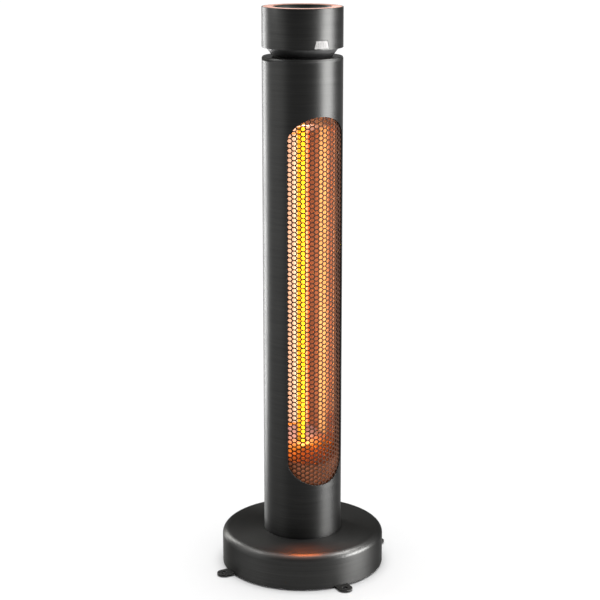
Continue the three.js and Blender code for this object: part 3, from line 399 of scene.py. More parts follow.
def grey(value: float) -> Colour:
    """Returns a neutral colour."""
    return (value, value, value)


def grazing(colour: Colour) -> tuple[str, tuple[float, ...]]:
    """Returns the shader's constant for a metal's reflections at a flat angle."""
    return ("Specular Tint", rgba(colour))


ROUND_BRUSH = (("Anisotropic", 0.5), ("Anisotropic Rotation", 0.25))


class Look(Enum):
    """Every finish of the heater by name."""

    GUNMETAL = BrushedMetal("gunmetal", (0.016, 0.016, 0.0157), (0.024, 0.024, 0.0234), (0.38, 0.44), 1.0, 0.03, 0.05,
                            (grazing(grey(0.6)), *ROUND_BRUSH), 1000.0, 0.9, grey(0.10))
    # The base cover's copy of the gunmetal finish, its colour painted about half again lighter than the tube's as
    # painted light on the base.
    BASE_METAL = BrushedMetal("gunmetal", (0.025, 0.025, 0.0245), (0.036, 0.036, 0.0352), (0.36, 0.42), 1.0, 0.03,
                              0.05, (grazing(grey(0.4)), *ROUND_BRUSH), 1000.0, 0.9, grey(0.10))
    CAP_METAL = BrushedMetal("gunmetal", (0.016, 0.016, 0.0157), (0.024, 0.024, 0.0234), (0.38, 0.46), 1.0, 0.05,
                             0.03, (grazing(grey(0.4)),), 1100.0, 3.0, grey(0.05))
    # The anchor tabs' copy of the gunmetal finish, its colour painted about half as dark as the tube's as painted
    # shade on the tabs.
    TAB_METAL = BrushedMetal("gunmetal", grey(0.008), grey(0.018), (0.42, 0.54), 1.0, 0.08, 0.06,
                             (grazing(grey(0.6)),), 700.0, 2.0, grey(0.06))
    STEEL = BrushedMetal("plain_steel", (0.26, 0.26, 0.265), (0.36, 0.36, 0.365), (0.34, 0.48), 1.0, 0.1, 0.1, (),
                         1400.0, 6.0, grey(0.5))
    SCREW_STEEL = BrushedMetal("plain_steel", grey(0.035), grey(0.06), (0.36, 0.5), 1.0, 0.1, 0.1,
                               (grazing(grey(0.5)),), 1400.0, 6.0, grey(0.16))
    COPPER = BrushedMetal("copper_trim", (0.82, 0.46, 0.34), (0.90, 0.56, 0.43), (0.18, 0.28), 1.0, 0.04, 0.0,
                          (grazing((1.0, 0.66, 0.56)),), 1600.0, 2.0, (0.96, 0.72, 0.6))
    GRILLE = Moulded("grille_steel", (0.016, 0.006, 0.003), (0.030, 0.011, 0.005), (0.6, 0.7), 0.0, 0.2, 0.0,
                     (("Specular IOR Level", 0.06),), 1500.0, 40.0)
    # The trough's band colours are painted reflections of the lamp (peach, white, red-orange), painted shade at its
    # front edges, and painted glow.
    REFLECTOR = ReflectorSheet("reflector_metal", (0.80, 0.74, 0.68), grey(1.0), (0.12, 0.22), 0.6, 0.05, 0.0, (), (
        (-14.0, (0.12, 0.05, 0.03)), (-9.5, (1.0, 0.66, 0.50)), (-6.0, (0.42, 0.16, 0.09)),
        (1.5, (0.42, 0.17, 0.10)), (4.0, (0.96, 0.62, 0.29)), (14.0, (0.98, 0.64, 0.30)),
        (17.5, (0.30, 0.12, 0.07)), (26.3, (0.20, 0.075, 0.04)), (27.4, (0.56, 0.09, 0.02)),
        (28.6, (0.60, 0.12, 0.03)), (30.0, (0.80, 0.50, 0.30)), (35.6, (1.0, 0.98, 0.84)),
        (37.3, (0.86, 0.74, 0.60)), (37.75, (0.62, 0.43, 0.34))))
    # The bottom plate's band colours are painted orange lamp glow.
    FOOT_PLATE = ReflectorSheet("reflector_metal", grey(0.7), grey(1.0), (0.3, 0.42), 0.5, 0.2, 0.02, (), (
        (-50.0, (0.42, 0.15, 0.07)), (-34.0, (0.60, 0.16, 0.06)), (-20.0, (0.95, 0.30, 0.06)),
        (-12.0, (1.0, 0.46, 0.08)), (-2.0, (0.80, 0.30, 0.12)), (8.0, (0.40, 0.22, 0.20)),
        (32.0, (0.36, 0.22, 0.24)), (35.0, (1.0, 0.34, 0.04)), (38.0, (0.9, 0.25, 0.03))))
    # The top plate's band colours are painted orange lamp glow.
    HEAD_PLATE = ReflectorSheet("reflector_metal", grey(0.7), grey(1.0), (0.34, 0.46), 0.4, 0.2, 0.02, (), (
        (-50.0, (0.42, 0.16, 0.08)), (-36.0, (0.46, 0.28, 0.22)), (26.0, (0.52, 0.34, 0.30)),
        (31.0, (1.0, 0.36, 0.06)), (38.0, (1.0, 0.30, 0.04))))
    LIP = ReflectorSheet("reflector_metal", (0.50, 0.14, 0.055), (0.66, 0.22, 0.09), (0.4, 0.55), 0.3, 0.2, 0.02)
    CONCRETE = Moulded("ballast", (0.26, 0.25, 0.24), (0.36, 0.35, 0.33), (0.85, 0.95), 0.0, 0.6, 0.0, (), 700.0,
                       40.0)
    RUBBER = Moulded("foot_rubber", grey(0.013), (0.022, 0.022, 0.021), (0.7, 0.85), 0.0, 0.4, 0.2, (), 1200.0, 90.0)
    NECK = Moulded("black_plastic", grey(0.004), grey(0.007), (0.45, 0.55), 0.0, 0.15, 0.02,
                   (("Specular IOR Level", 0.2),))
    PANEL = Moulded("black_plastic", (0.004, 0.006, 0.005), (0.008, 0.011, 0.010), (0.45, 0.55), 0.0, 0.12, 0.02,
                    (("Specular IOR Level", 0.15),))
    BUTTON = Moulded("black_plastic", (0.008, 0.009, 0.009), (0.014, 0.016, 0.015), (0.38, 0.48), 0.0, 0.1, 0.02,
                     (("Specular IOR Level", 0.25),))
    SYMBOL = Moulded("pale_lens", (0.55, 0.55, 0.54), (0.66, 0.66, 0.64), (0.45, 0.55), 0.0, 0.1)
    PLASTIC = Moulded("black_plastic", (0.012, 0.012, 0.013), (0.02, 0.02, 0.021), (0.4, 0.52), 0.0, 0.25, 0.08)
    LENS = Moulded("pale_lens", (0.075, 0.073, 0.072), (0.11, 0.108, 0.105), (0.45, 0.55), 0.0, 0.03, 0.0,
                   (("Specular IOR Level", 0.1),), 900.0, 160.0)
    BOARD = Moulded("circuit_board", (0.012, 0.075, 0.035), (0.02, 0.12, 0.055), (0.3, 0.45), 0.0, 0.1, 0.0, (),
                    500.0, 150.0)
    CERAMIC = Moulded("lamp_ceramic", (0.66, 0.62, 0.55), (0.78, 0.75, 0.69), (0.5, 0.65), 0.0, 0.3)
    SHEATH = Moulded("wire_sheath", grey(0.02), (0.035, 0.034, 0.033), (0.45, 0.6), 0.0, 0.2)
    QUARTZ = Glowing("lamp_quartz", (1.0, 0.66, 0.05), (1.0, 0.85, 0.6), (0.03, 0.08), 0.0, 0.0, 0.0,
                     (("Transmission Weight", 0.9), ("IOR", 1.46)), 0.12)
    ELEMENT = Glowing("lamp_element", (1.0, 0.80, 0.07), (0.4, 0.2, 0.05), (0.6, 0.7), 0.0, 0.0, 0.0, (), 0.8)

    def material(self) -> bpy.types.Material:
        """Returns the material of this look."""
        return self.value.material(f"{self.name.lower()}_finish")


# ---- Places and outlines ----

NOT_MOVED = Matrix.Identity(4)
QUARTERS = (0, 90, 180, 270)


def mm(points: Profile) -> Profile:
    """Returns points in metres for points in millimetres."""
    return [(x * MM, y * MM) for x, y in points]


def box(left: float, low: float, right: float, high: float) -> Profile:
    """Returns the corners of a rectangle."""
    return [(left, low), (right, low), (right, high), (left, high)]


def arc(x: float, y: float, radius_x: float, radius_y: float, start: float, end: float, steps: int) -> Profile:
    """Returns points on an ellipse's arc between two angles in degrees."""
    turns = [math.radians(start + (end - start) * i / steps) for i in range(steps + 1)]
    return [(x + radius_x * math.cos(t), y + radius_y * math.sin(t)) for t in turns]


def around(radius: float, turn: float, height: float) -> tuple[float, float, float]:
    """Returns the point at a radius, a turn from the front in radians, and a height."""
    return (radius * math.sin(turn), -radius * math.cos(turn), height)


def rotation(turn: float, axis: str = "Z") -> Matrix:
    """Returns a turn in degrees round an axis."""
    return Matrix.Rotation(math.radians(turn), 4, axis)


def spot(radius: float, turn: float, height: float = 0.0) -> Matrix:
    """Returns the placement at a radius, a turn from the front in degrees, and a height."""
    return Matrix.Translation(around(radius, math.radians(turn), height)) @ rotation(turn)


def outward(radius: float, turn: float, height: float) -> Matrix:
    """Returns a placement whose local Z points away from the tower's axis."""
    return spot(radius, turn, height) @ rotation(90, "X")


# ---- Mesh code ----


@dataclass
class MeshSketch:
    """Vertices and faces that are collected before they become one mesh."""

    verts: list[tuple[float, float, float]] = field(default_factory=list)
    faces: list[tuple[int, ...]] = field(default_factory=list)

    def add(self, verts, faces) -> "MeshSketch":
        """Adds a batch whose faces count from its own first vertex, and returns the sketch."""
        start = len(self.verts)
        self.verts.extend(tuple(v) for v in verts)
        self.faces.extend(tuple(start + i for i in face) for face in faces)
        return self

    def lathe(self, profile: Profile, sides: int, place: Matrix = NOT_MOVED) -> "MeshSketch":
        """Turns a closed profile of radii and heights round the Z axis, moves it, and returns the sketch."""
        count, verts, faces = len(profile), [], []
        for i in range(sides):
            verts += [place @ Vector(around(r, 2.0 * math.pi * i / sides, z)) for r, z in profile]
            a, b = i * count, (i + 1) % sides * count
            faces += [(a + j, b + j, b + (j + 1) % count, a + (j + 1) % count) for j in range(count)]
        return self.add(verts, faces)

    def prism(self, outline: Profile, low: float, high: float, place: Matrix = NOT_MOVED) -> "MeshSketch":
        """Raises a plan outline from one height to another, moves it, and returns the sketch."""
        count = len(outline)
        verts = [place @ Vector((x, y, z)) for z in (low, high) for x, y in outline]
        faces = [tuple(reversed(range(count))), tuple(range(count, 2 * count))]
        faces += [(i, (i + 1) % count, count + (i + 1) % count, count + i) for i in range(count)]
        return self.add(verts, faces)

    def strip(self, verts) -> "MeshSketch":
        """Joins cross-sections of four vertices each to a closed strip and returns the sketch."""
        last, faces = len(verts) - 4, []
        for a in range(0, last, 4):
            b = a + 4
            faces += [(a, b, b + 1, a + 1), (a + 2, a + 3, b + 3, b + 2), (a + 1, b + 1, b + 3, a + 3),
                      (a, a + 2, b + 2, b)]
        return self.add(verts, [*faces, (0, 1, 3, 2), (last, last + 2, last + 3, last + 1)])

    def mesh(self, name: str, smooth: float = 32.0) -> bpy.types.Mesh:
        """Returns the mesh, shaded smooth up to an angle in degrees."""
        data = bpy.data.meshes.new(name)
        data.from_pydata(self.verts, [], self.faces)
        work = bmesh.new()
        work.from_mesh(data)
        bmesh.ops.remove_doubles(work, verts=work.verts, dist=1e-6)
        bmesh.ops.dissolve_degenerate(work, dist=1e-7, edges=work.edges)
        bmesh.ops.recalc_face_normals(work, faces=work.faces)
        work.to_mesh(data)
        work.free()
        return shaded(data, smooth)


def shaded(data: bpy.types.Mesh, smooth: float) -> bpy.types.Mesh:
    """Shades a mesh smooth up to an angle in degrees and returns it."""
    data.shade_smooth()
    data.set_sharp_from_angle(angle=math.radians(smooth))
    return data


def put(name: str, data: bpy.types.ID) -> Thing:
    """Adds an object with the data to the scene and returns it."""
    item = bpy.data.objects.new(name, data)
    bpy.context.scene.collection.objects.link(item)
    return item


class Fitter:
    """Turns sketches into pieces that ride on bodies, and dresses CAD nodes."""

    @staticmethod
    def piece(name: str, sketch: MeshSketch, look: Look, *stands_for: str, body: str = "tower",
              smooth: float = 32.0) -> Thing:
        """Makes one piece.

        Args:
            name: the piece's name.
            sketch: its shape.
            look: its finish.
            *stands_for: CAD nodes that it replaces.
            body: the CAD body that it rides on.
            smooth: angle in degrees up to which it is shaded smooth.

        Returns:
            The object.
        """
        piece = put(name, sketch.mesh(name, smooth))
        piece.data.materials.append(look.material())
        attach(piece, body)
        if stands_for:
            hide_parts(*stands_for)
        return piece

    @staticmethod
    def turned(name: str, profile: Profile, sides: int, look: Look, node: str, place: Matrix = NOT_MOVED,
               smooth: float = 32.0) -> Thing:
        """Returns a new piece of the tower, turned from radii and heights in millimetres, in place of a CAD node."""
        return Fitter.piece(name, MeshSketch().lathe(mm(profile), sides, place), look, node, smooth=smooth)

    @staticmethod
    def soften(piece: Thing, width: float, angle: float = 40.0) -> None:
        """Rounds the edges of a piece that are sharper than an angle in degrees."""
        bevel = piece.modifiers.new("soft_edges", "BEVEL")
        bevel.width, bevel.segments, bevel.limit_method = width, 2, "ANGLE"
        bevel.angle_limit = math.radians(angle)
        bevel.harden_normals = True

    @staticmethod
    def carve(piece: Thing, cutter: MeshSketch, width: float = 0.0, angle: float = 40.0) -> None:
        """Cuts a sketch out of a piece that has no modifiers yet, and softens its edges if a width is given."""
        tool = put("cutter", cutter.mesh("cutter"))
        cut = piece.modifiers.new("cut", "BOOLEAN")
        cut.object, cut.operation, cut.solver = tool, "DIFFERENCE", "EXACT"
        bpy.context.view_layer.update()
        carved = piece.evaluated_get(bpy.context.evaluated_depsgraph_get())
        data = bpy.data.meshes.new_from_object(carved)
        piece.modifiers.clear()
        piece.data = shaded(data, 32.0)
        bpy.data.objects.remove(tool)
        if width:
            Fitter.soften(piece, width, angle)

    @staticmethod
    def dress(look: Look, *nodes: str, bevel: float = 0.0) -> None:
        """Gives CAD nodes a finish, and a bevel if a width is given."""
        for name in nodes:
            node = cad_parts[name]
            node.data.materials.clear()
            node.data.materials.append(look.material())
            if bevel:
                Fitter.soften(node, bevel)


def numbered(name: str) -> list[str]:
    """Returns a name with each number from 1 to 4."""
    return [f"{name}_{i}" for i in range(1, 5)]


# ---- Sub-assemblies ----


@dataclass
class WeightedBase:
    """The round base: its cover, anchor tabs, feet and gland."""

    radius: float = 115 * MM
    foot: float = 2 * MM
    top: float = 52 * MM
    edge: float = 9.5 * MM
    hem: float = 0.5 * MM
    sheet: float = 1.5 * MM
    hole: float = 30 * MM
    tab_width: float = 20.5 * MM
    tab_hole: float = 3.4 * MM
    tab_hole_circle: float = 125.5 * MM
    tab_inner: float = 87.75 * MM
    tab_screw_circle: float = 98 * MM
    foot_circle: float = 95 * MM
    gland_height: float = 27 * MM
    gland_bore: float = 8.3 * MM

    def build(self) -> None:
        """Makes the base's shown pieces."""
        self.cover()
        for i in range(4):
            self.tab(i)
            self.rubber_foot(i)
        self.gland()

    def cover(self) -> None:
        """Makes the pressed drum with its rolled lower hem, the tabs' notches and the gland's bore."""
        r, low, top, edge, sheet = self.radius, self.foot, self.top, self.edge, self.sheet
        side = [(r, z * MM) for z in (3.6, 5.0, 18.0, 36.0)]
        outer = [(r - self.hem, low), (r, low + self.hem), *side, *arc(r - edge, top - edge, edge, edge, 0, 90, 14)]
        inner = arc(r - edge, top - edge, edge - sheet, edge - sheet, 90, 0, 10)
        profile = [*outer, (self.hole, top), (self.hole, top - sheet), *inner, (r - sheet, low)]
        cover = Fitter.piece("base_cover_shell", MeshSketch().lathe(profile, 192), Look.BASE_METAL, "base_cover")
        half, cutter = self.tab_width / 2 + 0.3 * MM, MeshSketch()
        for turn in QUARTERS:
            cutter.prism(box(-half, -r - 3 * MM, half, 4 * MM - r), 0.0, 4.3 * MM, rotation(turn))
        cutter.lathe(box(0.0, 0.0, self.gland_bore, 20 * MM), 32, outward(r - 10 * MM, 180, self.gland_height))
        Fitter.carve(cover, cutter, 0.25 * MM, 60.0)

    def tab(self, index: int) -> None:
        """Makes one anchor tab: a strap with a round end, a hole and a countersunk seat."""
        half, circle, turn = self.tab_width / 2, self.tab_hole_circle, 90 * index
        outline = [*arc(0, -circle, half, half, 180, 360, 32), (half, -self.tab_inner), (-half, -self.tab_inner)]
        strap = MeshSketch().prism(outline, 2 * MM, 4 * MM, rotation(turn))
        tab = Fitter.piece(f"anchor_tab_strap_{index + 1}", strap, Look.TAB_METAL, f"anchor_tab_{index + 1}")
        holes = MeshSketch().lathe(box(0.0, 0.0, self.tab_hole, 6 * MM), 40, spot(circle, turn))
        seat = [(0.0, 1.9), (4.35, 1.9), (2.25, 4.1), (0.0, 4.1)]
        Fitter.carve(tab, holes.lathe(mm(seat), 24, spot(self.tab_screw_circle, turn)), 0.3 * MM)

    def rubber_foot(self, index: int) -> None:
        """Makes one foot with a ring groove in its sole."""
        profile = [(0, 0.6), (3.4, 0.6), (3.9, 0.0), (8.0, 0.0), (8.7, 0.3), (9.0, 1.0), (9.0, 4.0), (0, 4.0)]
        Fitter.turned(f"rubber_foot_pad_{index + 1}", profile, 48, Look.RUBBER, f"rubber_foot_{index + 1}",
                      spot(self.foot_circle, 45 + 90 * index))

    def gland(self) -> None:
        """Makes the cord gland: a flange and a ribbed, tapered sleeve round an open bore."""
        start, seat, end = 105.0, 115.3, 131.0
        profile = [(3.6, start), (8.0, start), (8.0, seat), (10.4, seat), (11.0, seat + 0.6), (11.0, seat + 2.9),
                   (10.4, seat + 3.5), (8.4, seat + 3.5)]
        for i in range(4):
            z, width = seat + 4.3 + i * 2.6, 8.2 - 0.55 * i
            profile += [(width, z), (width, z + 1.3), (width - 0.9, z + 1.6), (width - 0.9, z + 2.3)]
        profile += [(5.6, end - 0.4), (5.2, end), (3.9, end), (3.6, end - 0.4)]
        Fitter.turned("cord_gland_sleeve", profile, 56, Look.PLASTIC, "cord_gland",
                      outward(0.0, 180, self.gland_height))

    def dress(self) -> None:
        """Finishes the CAD nodes that stay."""
        Fitter.dress(Look.STEEL, "base_plate", *numbered("tab_screw"))
        Fitter.dress(Look.CONCRETE, "ballast_weight")
        Fitter.dress(Look.PLASTIC, "tip_switch", "tip_plunger", bevel=0.3 * MM)
        Fitter.dress(Look.PLASTIC, "gland_nut")
        Fitter.dress(Look.CERAMIC, "terminal_block", bevel=0.4 * MM)


@dataclass
class TowerTube:
    """The tube with its window, its cap and the screws behind."""

    radius: float = 55 * MM
    sheet: float = 1.5 * MM
    low: float = 52 * MM
    high: float = 721 * MM
    sill: float = 131 * MM
    head: float = 649.5 * MM
    half_width: float = 42.3 * MM
    end_rise: float = 34 * MM
    margin: float = 3 * MM
    window_steps: int = 36
    back_steps: int = 120

    def build(self) -> None:
        """Makes the tube, its cap and its screws."""
        self.tube()
        self.cap()
        for i, height in enumerate((160 * MM, 160 * MM, 645 * MM, 645 * MM)):
            self.screw(i, (145, 215)[i % 2], height)

    def levels(self, turn: float, limit: float) -> tuple[float, ...]:
        """Returns the heights of one column's corners, with the window's edges as the fourth and fifth."""
        across = min(1.0, abs(self.radius * math.sin(turn)) / self.half_width)
        bow = self.end_rise * math.sqrt(max(0.0, 1.0 - across ** 2)) if abs(turn) <= limit else 0.0
        sill, head, margin = self.sill + self.end_rise - bow, self.head - self.end_rise + bow, self.margin
        return (self.low, sill - 2 * margin, sill - margin, sill, head, head + margin, head + 2 * margin,
                self.high - margin, self.high)

    def tube(self) -> None:
        """Makes the tube as columns that follow the window's outline."""
        limit, steps = math.asin(self.half_width / self.radius), self.window_steps
        turns = [limit * math.sin(math.radians(90 * i / steps)) for i in range(-steps, steps + 1)]
        open_columns = len(turns) - 1
        turns += [limit + (2 * math.pi - 2 * limit) * i / self.back_steps for i in range(1, self.back_steps)]
        verts = [around(radius, turn, z) for radius in (self.radius, self.radius - self.sheet) for turn in turns
                 for z in self.levels(turn, limit)]
        faces, count, rows, sill, top = [], len(turns), 9, 3, 8
        back = rows * count
        for i in range(count):
            a, b = rows * i, rows * ((i + 1) % count)
            solid = i >= open_columns
            skins = [row for row in range(top) if solid or row != sill]
            rims = (0, top) if solid else (0, sill, sill + 1, top)
            for skin in (0, back):
                faces += [(skin + a + row, skin + b + row, skin + b + row + 1, skin + a + row + 1) for row in skins]
            faces += [(a + row, b + row, back + b + row, back + a + row) for row in rims]
        for a in (0, rows * open_columns):
            faces.append((a + sill, a + sill + 1, back + a + sill + 1, back + a + sill))
        tube = Fitter.piece("tower_tube_shell", MeshSketch().add(verts, faces), Look.GUNMETAL, "tower_tube")
        Fitter.soften(tube, 0.3 * MM, 60.0)

    def cap(self) -> None:
        """Makes the cap with its bright bevel and the spigot inside the tube."""
        profile = [(53.2, 713), (53.2, 721), (55, 721), (55, 723.2), (54.9, 723.5), (54.0, 725.3), (53.7, 725.5),
                   (34, 725.5), (34, 723.5), (51.7, 721), (51.7, 713)]
        Fitter.turned("tube_cap_disc", profile, 160, Look.CAP_METAL, "tube_cap", smooth=28)

    def screw(self, index: int, turn: float, height: float) -> None:
        """Makes one domed screw with a round socket."""
        dome = [(0.0, 0.9), (1.5, 0.9), (1.5, 2.05), (2.4, 1.95), (3.4, 1.45), (3.9, 0.8), (4.0, 0.3), (4.0, 0.0),
                (1.6, 0.0), (1.6, -6.7), (0.0, -6.7)]
        Fitter.turned(f"rear_screw_dome_{index + 1}", dome, 36, Look.SCREW_STEEL, f"rear_screw_{index + 1}",
                      outward(self.radius + 0.3 * MM, turn, height))

    def dress(self) -> None:
        """Finishes the CAD nodes inside the tube."""
        Fitter.dress(Look.STEEL, "mast_flange", "heat_shield", *numbered("flange_bolt"))
        Fitter.dress(Look.BOARD, "power_board", bevel=0.3 * MM)
        Fitter.dress(Look.PLASTIC, "thermal_cutout", bevel=0.3 * MM)
        Fitter.dress(Look.SHEATH, "wiring_loom")


@dataclass
class MeshGrille:
    """The bent sheet of six-sided openings that closes the window."""

    outer: float = 52.9 * MM
    sheet: float = 0.8 * MM
    low: float = 122 * MM
    high: float = 658.5 * MM
    pitch: float = 6.5 * MM
    column_pitch: float = 6.25 * MM
    web: float = 1.5 * MM
    columns: int = 9

    def build(self) -> None:
        """Makes every cell as a ring of six webs that share their outer corners."""
        rows, half = int((self.high - self.low) / self.pitch) - 1, self.pitch / 2
        tip, shrink = self.column_pitch * 2 / 3, 1.0 - self.web / self.pitch
        ring = [(tip, 0.0), (tip / 2, half), (-tip / 2, half), (-tip, 0.0), (-tip / 2, -half), (tip / 2, -half)]
        faces = [(k, (k + 1) % 6, 6 + (k + 1) % 6, 6 + k) for k in range(6)]
        start, sketch = (self.low + self.high - rows * self.pitch) / 2, MeshSketch()
        for i in range(-self.columns, self.columns + 1):
            for j in range(rows + 1):
                s, z = i * self.column_pitch, start + (j + (0.5 if i % 2 else 0.0)) * self.pitch
                if z + half > self.high:
                    continue
                flat = [(s + x, z + y) for x, y in ring] + [(s + shrink * x, z + shrink * y) for x, y in ring]
                sketch.add([around(self.outer, along / self.outer, height) for along, height in flat], faces)
        grille = Fitter.piece("mesh_grille_sheet", sketch, Look.GRILLE, "mesh_grille", smooth=50)
        thick = grille.modifiers.new("sheet", "SOLIDIFY")
        thick.thickness, thick.offset = self.sheet, -1.0

    def dress(self) -> None:
        """Has nothing to finish, as its own sheet is dressed."""


@dataclass
class Reflector:
    """The bright trough behind the lamp and the slanted plate at each end."""

    front: float = -18 * MM
    half_width: float = 43.5 * MM
    depth: float = 56 * MM
    sheet: float = 0.8 * MM
    low: float = 150 * MM
    high: float = 652 * MM
    liner: float = 50.2 * MM
    gap: float = 0.3 * MM
    slope: float = 22.0
    bottom_back: float = 195 * MM
    top_back: float = 614 * MM
    lip_foot: float = 126 * MM
    lip_turn: float = 52.0
    lamp_y: float = 3 * MM
    lamp_hole: float = 8 * MM

    def build(self) -> None:
        """Makes the trough and its end plates."""
        wide, back = self.half_width + self.sheet, self.front + self.sheet
        inner = arc(0, self.front, self.half_width, self.depth, 0, 180, 64)
        outer = arc(0, self.front, wide, self.depth + self.sheet, 0, 180, 64)
        end = math.sqrt(self.liner ** 2 - self.front ** 2)
        right, left = [[(way * end, self.front), (way * end, back), (way * wide, back)] for way in (1, -1)]
        outline = [*inner, *left, *reversed(outer[1:-1]), *reversed(right)]
        Fitter.piece("reflector_trough", MeshSketch().prism(outline, self.low, self.high), Look.REFLECTOR,
                     "reflector", smooth=40)
        self.end_plate("reflector_bottom_plate", "reflector_bottom_end", Look.FOOT_PLATE, self.bottom_back, 1)
        self.end_plate("reflector_top_plate", "reflector_top_end", Look.HEAD_PLATE, self.top_back, -1)

    def end_plate(self, name: str, node: str, look: Look, back_height: float, fall: int) -> None:
        """Makes one slanted plate.

        Args:
            name: the piece's name.
            node: the CAD node that it replaces.
            look: its finish.
            back_height: height of its back edge.
            fall: 1 if it falls towards the front, -1 if it rises.
        """
        front, back_y = self.front - self.gap, self.front + self.depth
        reach = math.degrees(math.acos(-front / self.liner))
        bow = [around(self.liner, math.radians(-reach + 2 * reach * i / 40), 0.0)[:2] for i in range(41)]
        trough = arc(0, front, self.half_width - self.gap, self.depth - self.gap, 0, 180, 40)
        lean = fall * math.tan(math.radians(self.slope))
        thick = 1 * MM / math.cos(math.radians(self.slope))

        def plane(y: float) -> float:
            """Returns the height of the plate's underside."""
            return back_height + lean * (y - back_y)

        sketch = MeshSketch().prism([*bow, *trough], 0.0, 1.0)
        sketch.verts = [(x, y, plane(y) + z * thick) for x, y, z in sketch.verts]
        plate = Fitter.piece(name, sketch, look, node)
        bore = MeshSketch().lathe(box(0.0, 0.1, self.lamp_hole, 0.7), 40, Matrix.Translation((0, self.lamp_y, 0)))
        Fitter.carve(plate, bore, 0.2 * MM)
        if fall == 1:
            self.lip(plane)

    def lip(self, plane: Callable[[float], float]) -> None:
        """Makes the bent lip in front of the bottom plate, up to the plate's slanted edge."""
        verts, steps = [], 48
        for i in range(steps + 1):
            t = math.radians(-self.lip_turn + 2 * self.lip_turn * i / steps)
            top = plane(-self.liner * math.cos(t)) + 0.4 * MM
            verts += [around(r, t, z) for r in (self.liner, self.liner - self.sheet) for z in (self.lip_foot, top)]
        Fitter.piece("reflector_front_lip", MeshSketch().strip(verts), Look.LIP)

    def dress(self) -> None:
        """Has nothing to finish, as its own pieces are dressed."""


@dataclass
class Lamp:
    """The quartz lamp with its wound element, its caps and clips."""

    centre: float = 3 * MM
    low: float = 160 * MM
    high: float = 649 * MM
    radius: float = 6 * MM
    wall: float = 1 * MM
    element_radius: float = 4.3 * MM
    element_sheet: float = 0.5 * MM
    element_width: float = 5.2 * MM
    element_inset: float = 4 * MM
    element_turns: int = 62
    element_steps: int = 24

    def build(self) -> None:
        """Makes the tube, the element and the caps."""
        place = Matrix.Translation((0, self.centre, 0))
        inner = self.radius - self.wall
        glass = [(self.radius, self.low), (self.radius, self.high), (inner, self.high), (inner, self.low)]
        Fitter.piece("quartz_sleeve", MeshSketch().lathe(glass, 48, place), Look.QUARTZ, "quartz_tube")
        self.element()
        self.cap("lamp_cap_foot", "lamp_cap_bottom", self.low, 1, place)
        self.cap("lamp_cap_head", "lamp_cap_top", self.high, -1, place)

    def element(self) -> None:
        """Makes the element as a strip wound in a long spiral."""
        start, end, width = self.low + self.element_inset, self.high - self.element_inset, self.element_width
        verts, total = [], self.element_turns * self.element_steps
        for i in range(total + 1):
            turn = 2 * math.pi * i / self.element_steps
            z = start + width / 2 + (end - start - width) * i / total
            verts += [(r * math.sin(turn), self.centre - r * math.cos(turn), z + lift)
                      for r in (self.element_radius, self.element_radius - self.element_sheet)
                      for lift in (-width / 2, width / 2)]
        Fitter.piece("carbon_spiral", MeshSketch().strip(verts), Look.ELEMENT, "carbon_element")

    def cap(self, name: str, node: str, end: float, way: int, place: Matrix) -> None:
        """Makes one ceramic cap with a waist groove.

        Args:
            name: the piece's name.
            node: the CAD node that it replaces.
            end: height of the lamp's end.
            way: 1 for the lower cap, -1 for the upper one.
            place: the lamp's placement.
        """
        profile = [(0, -10), (8, -10), (9, -9), (9, -2), (8.3, -1.4), (8.3, 1.4), (9, 2), (9, 13.2), (8.4, 14),
                   (6.3, 14), (6.3, 0), (0, 0)]
        turned = [(r * MM, end + way * z * MM) for r, z in profile]
        Fitter.piece(name, MeshSketch().lathe(turned, 48, place), Look.CERAMIC, node)

    def dress(self) -> None:
        """Finishes the clips."""
        Fitter.dress(Look.STEEL, "lamp_clip_bottom", "lamp_clip_top", bevel=0.2 * MM)


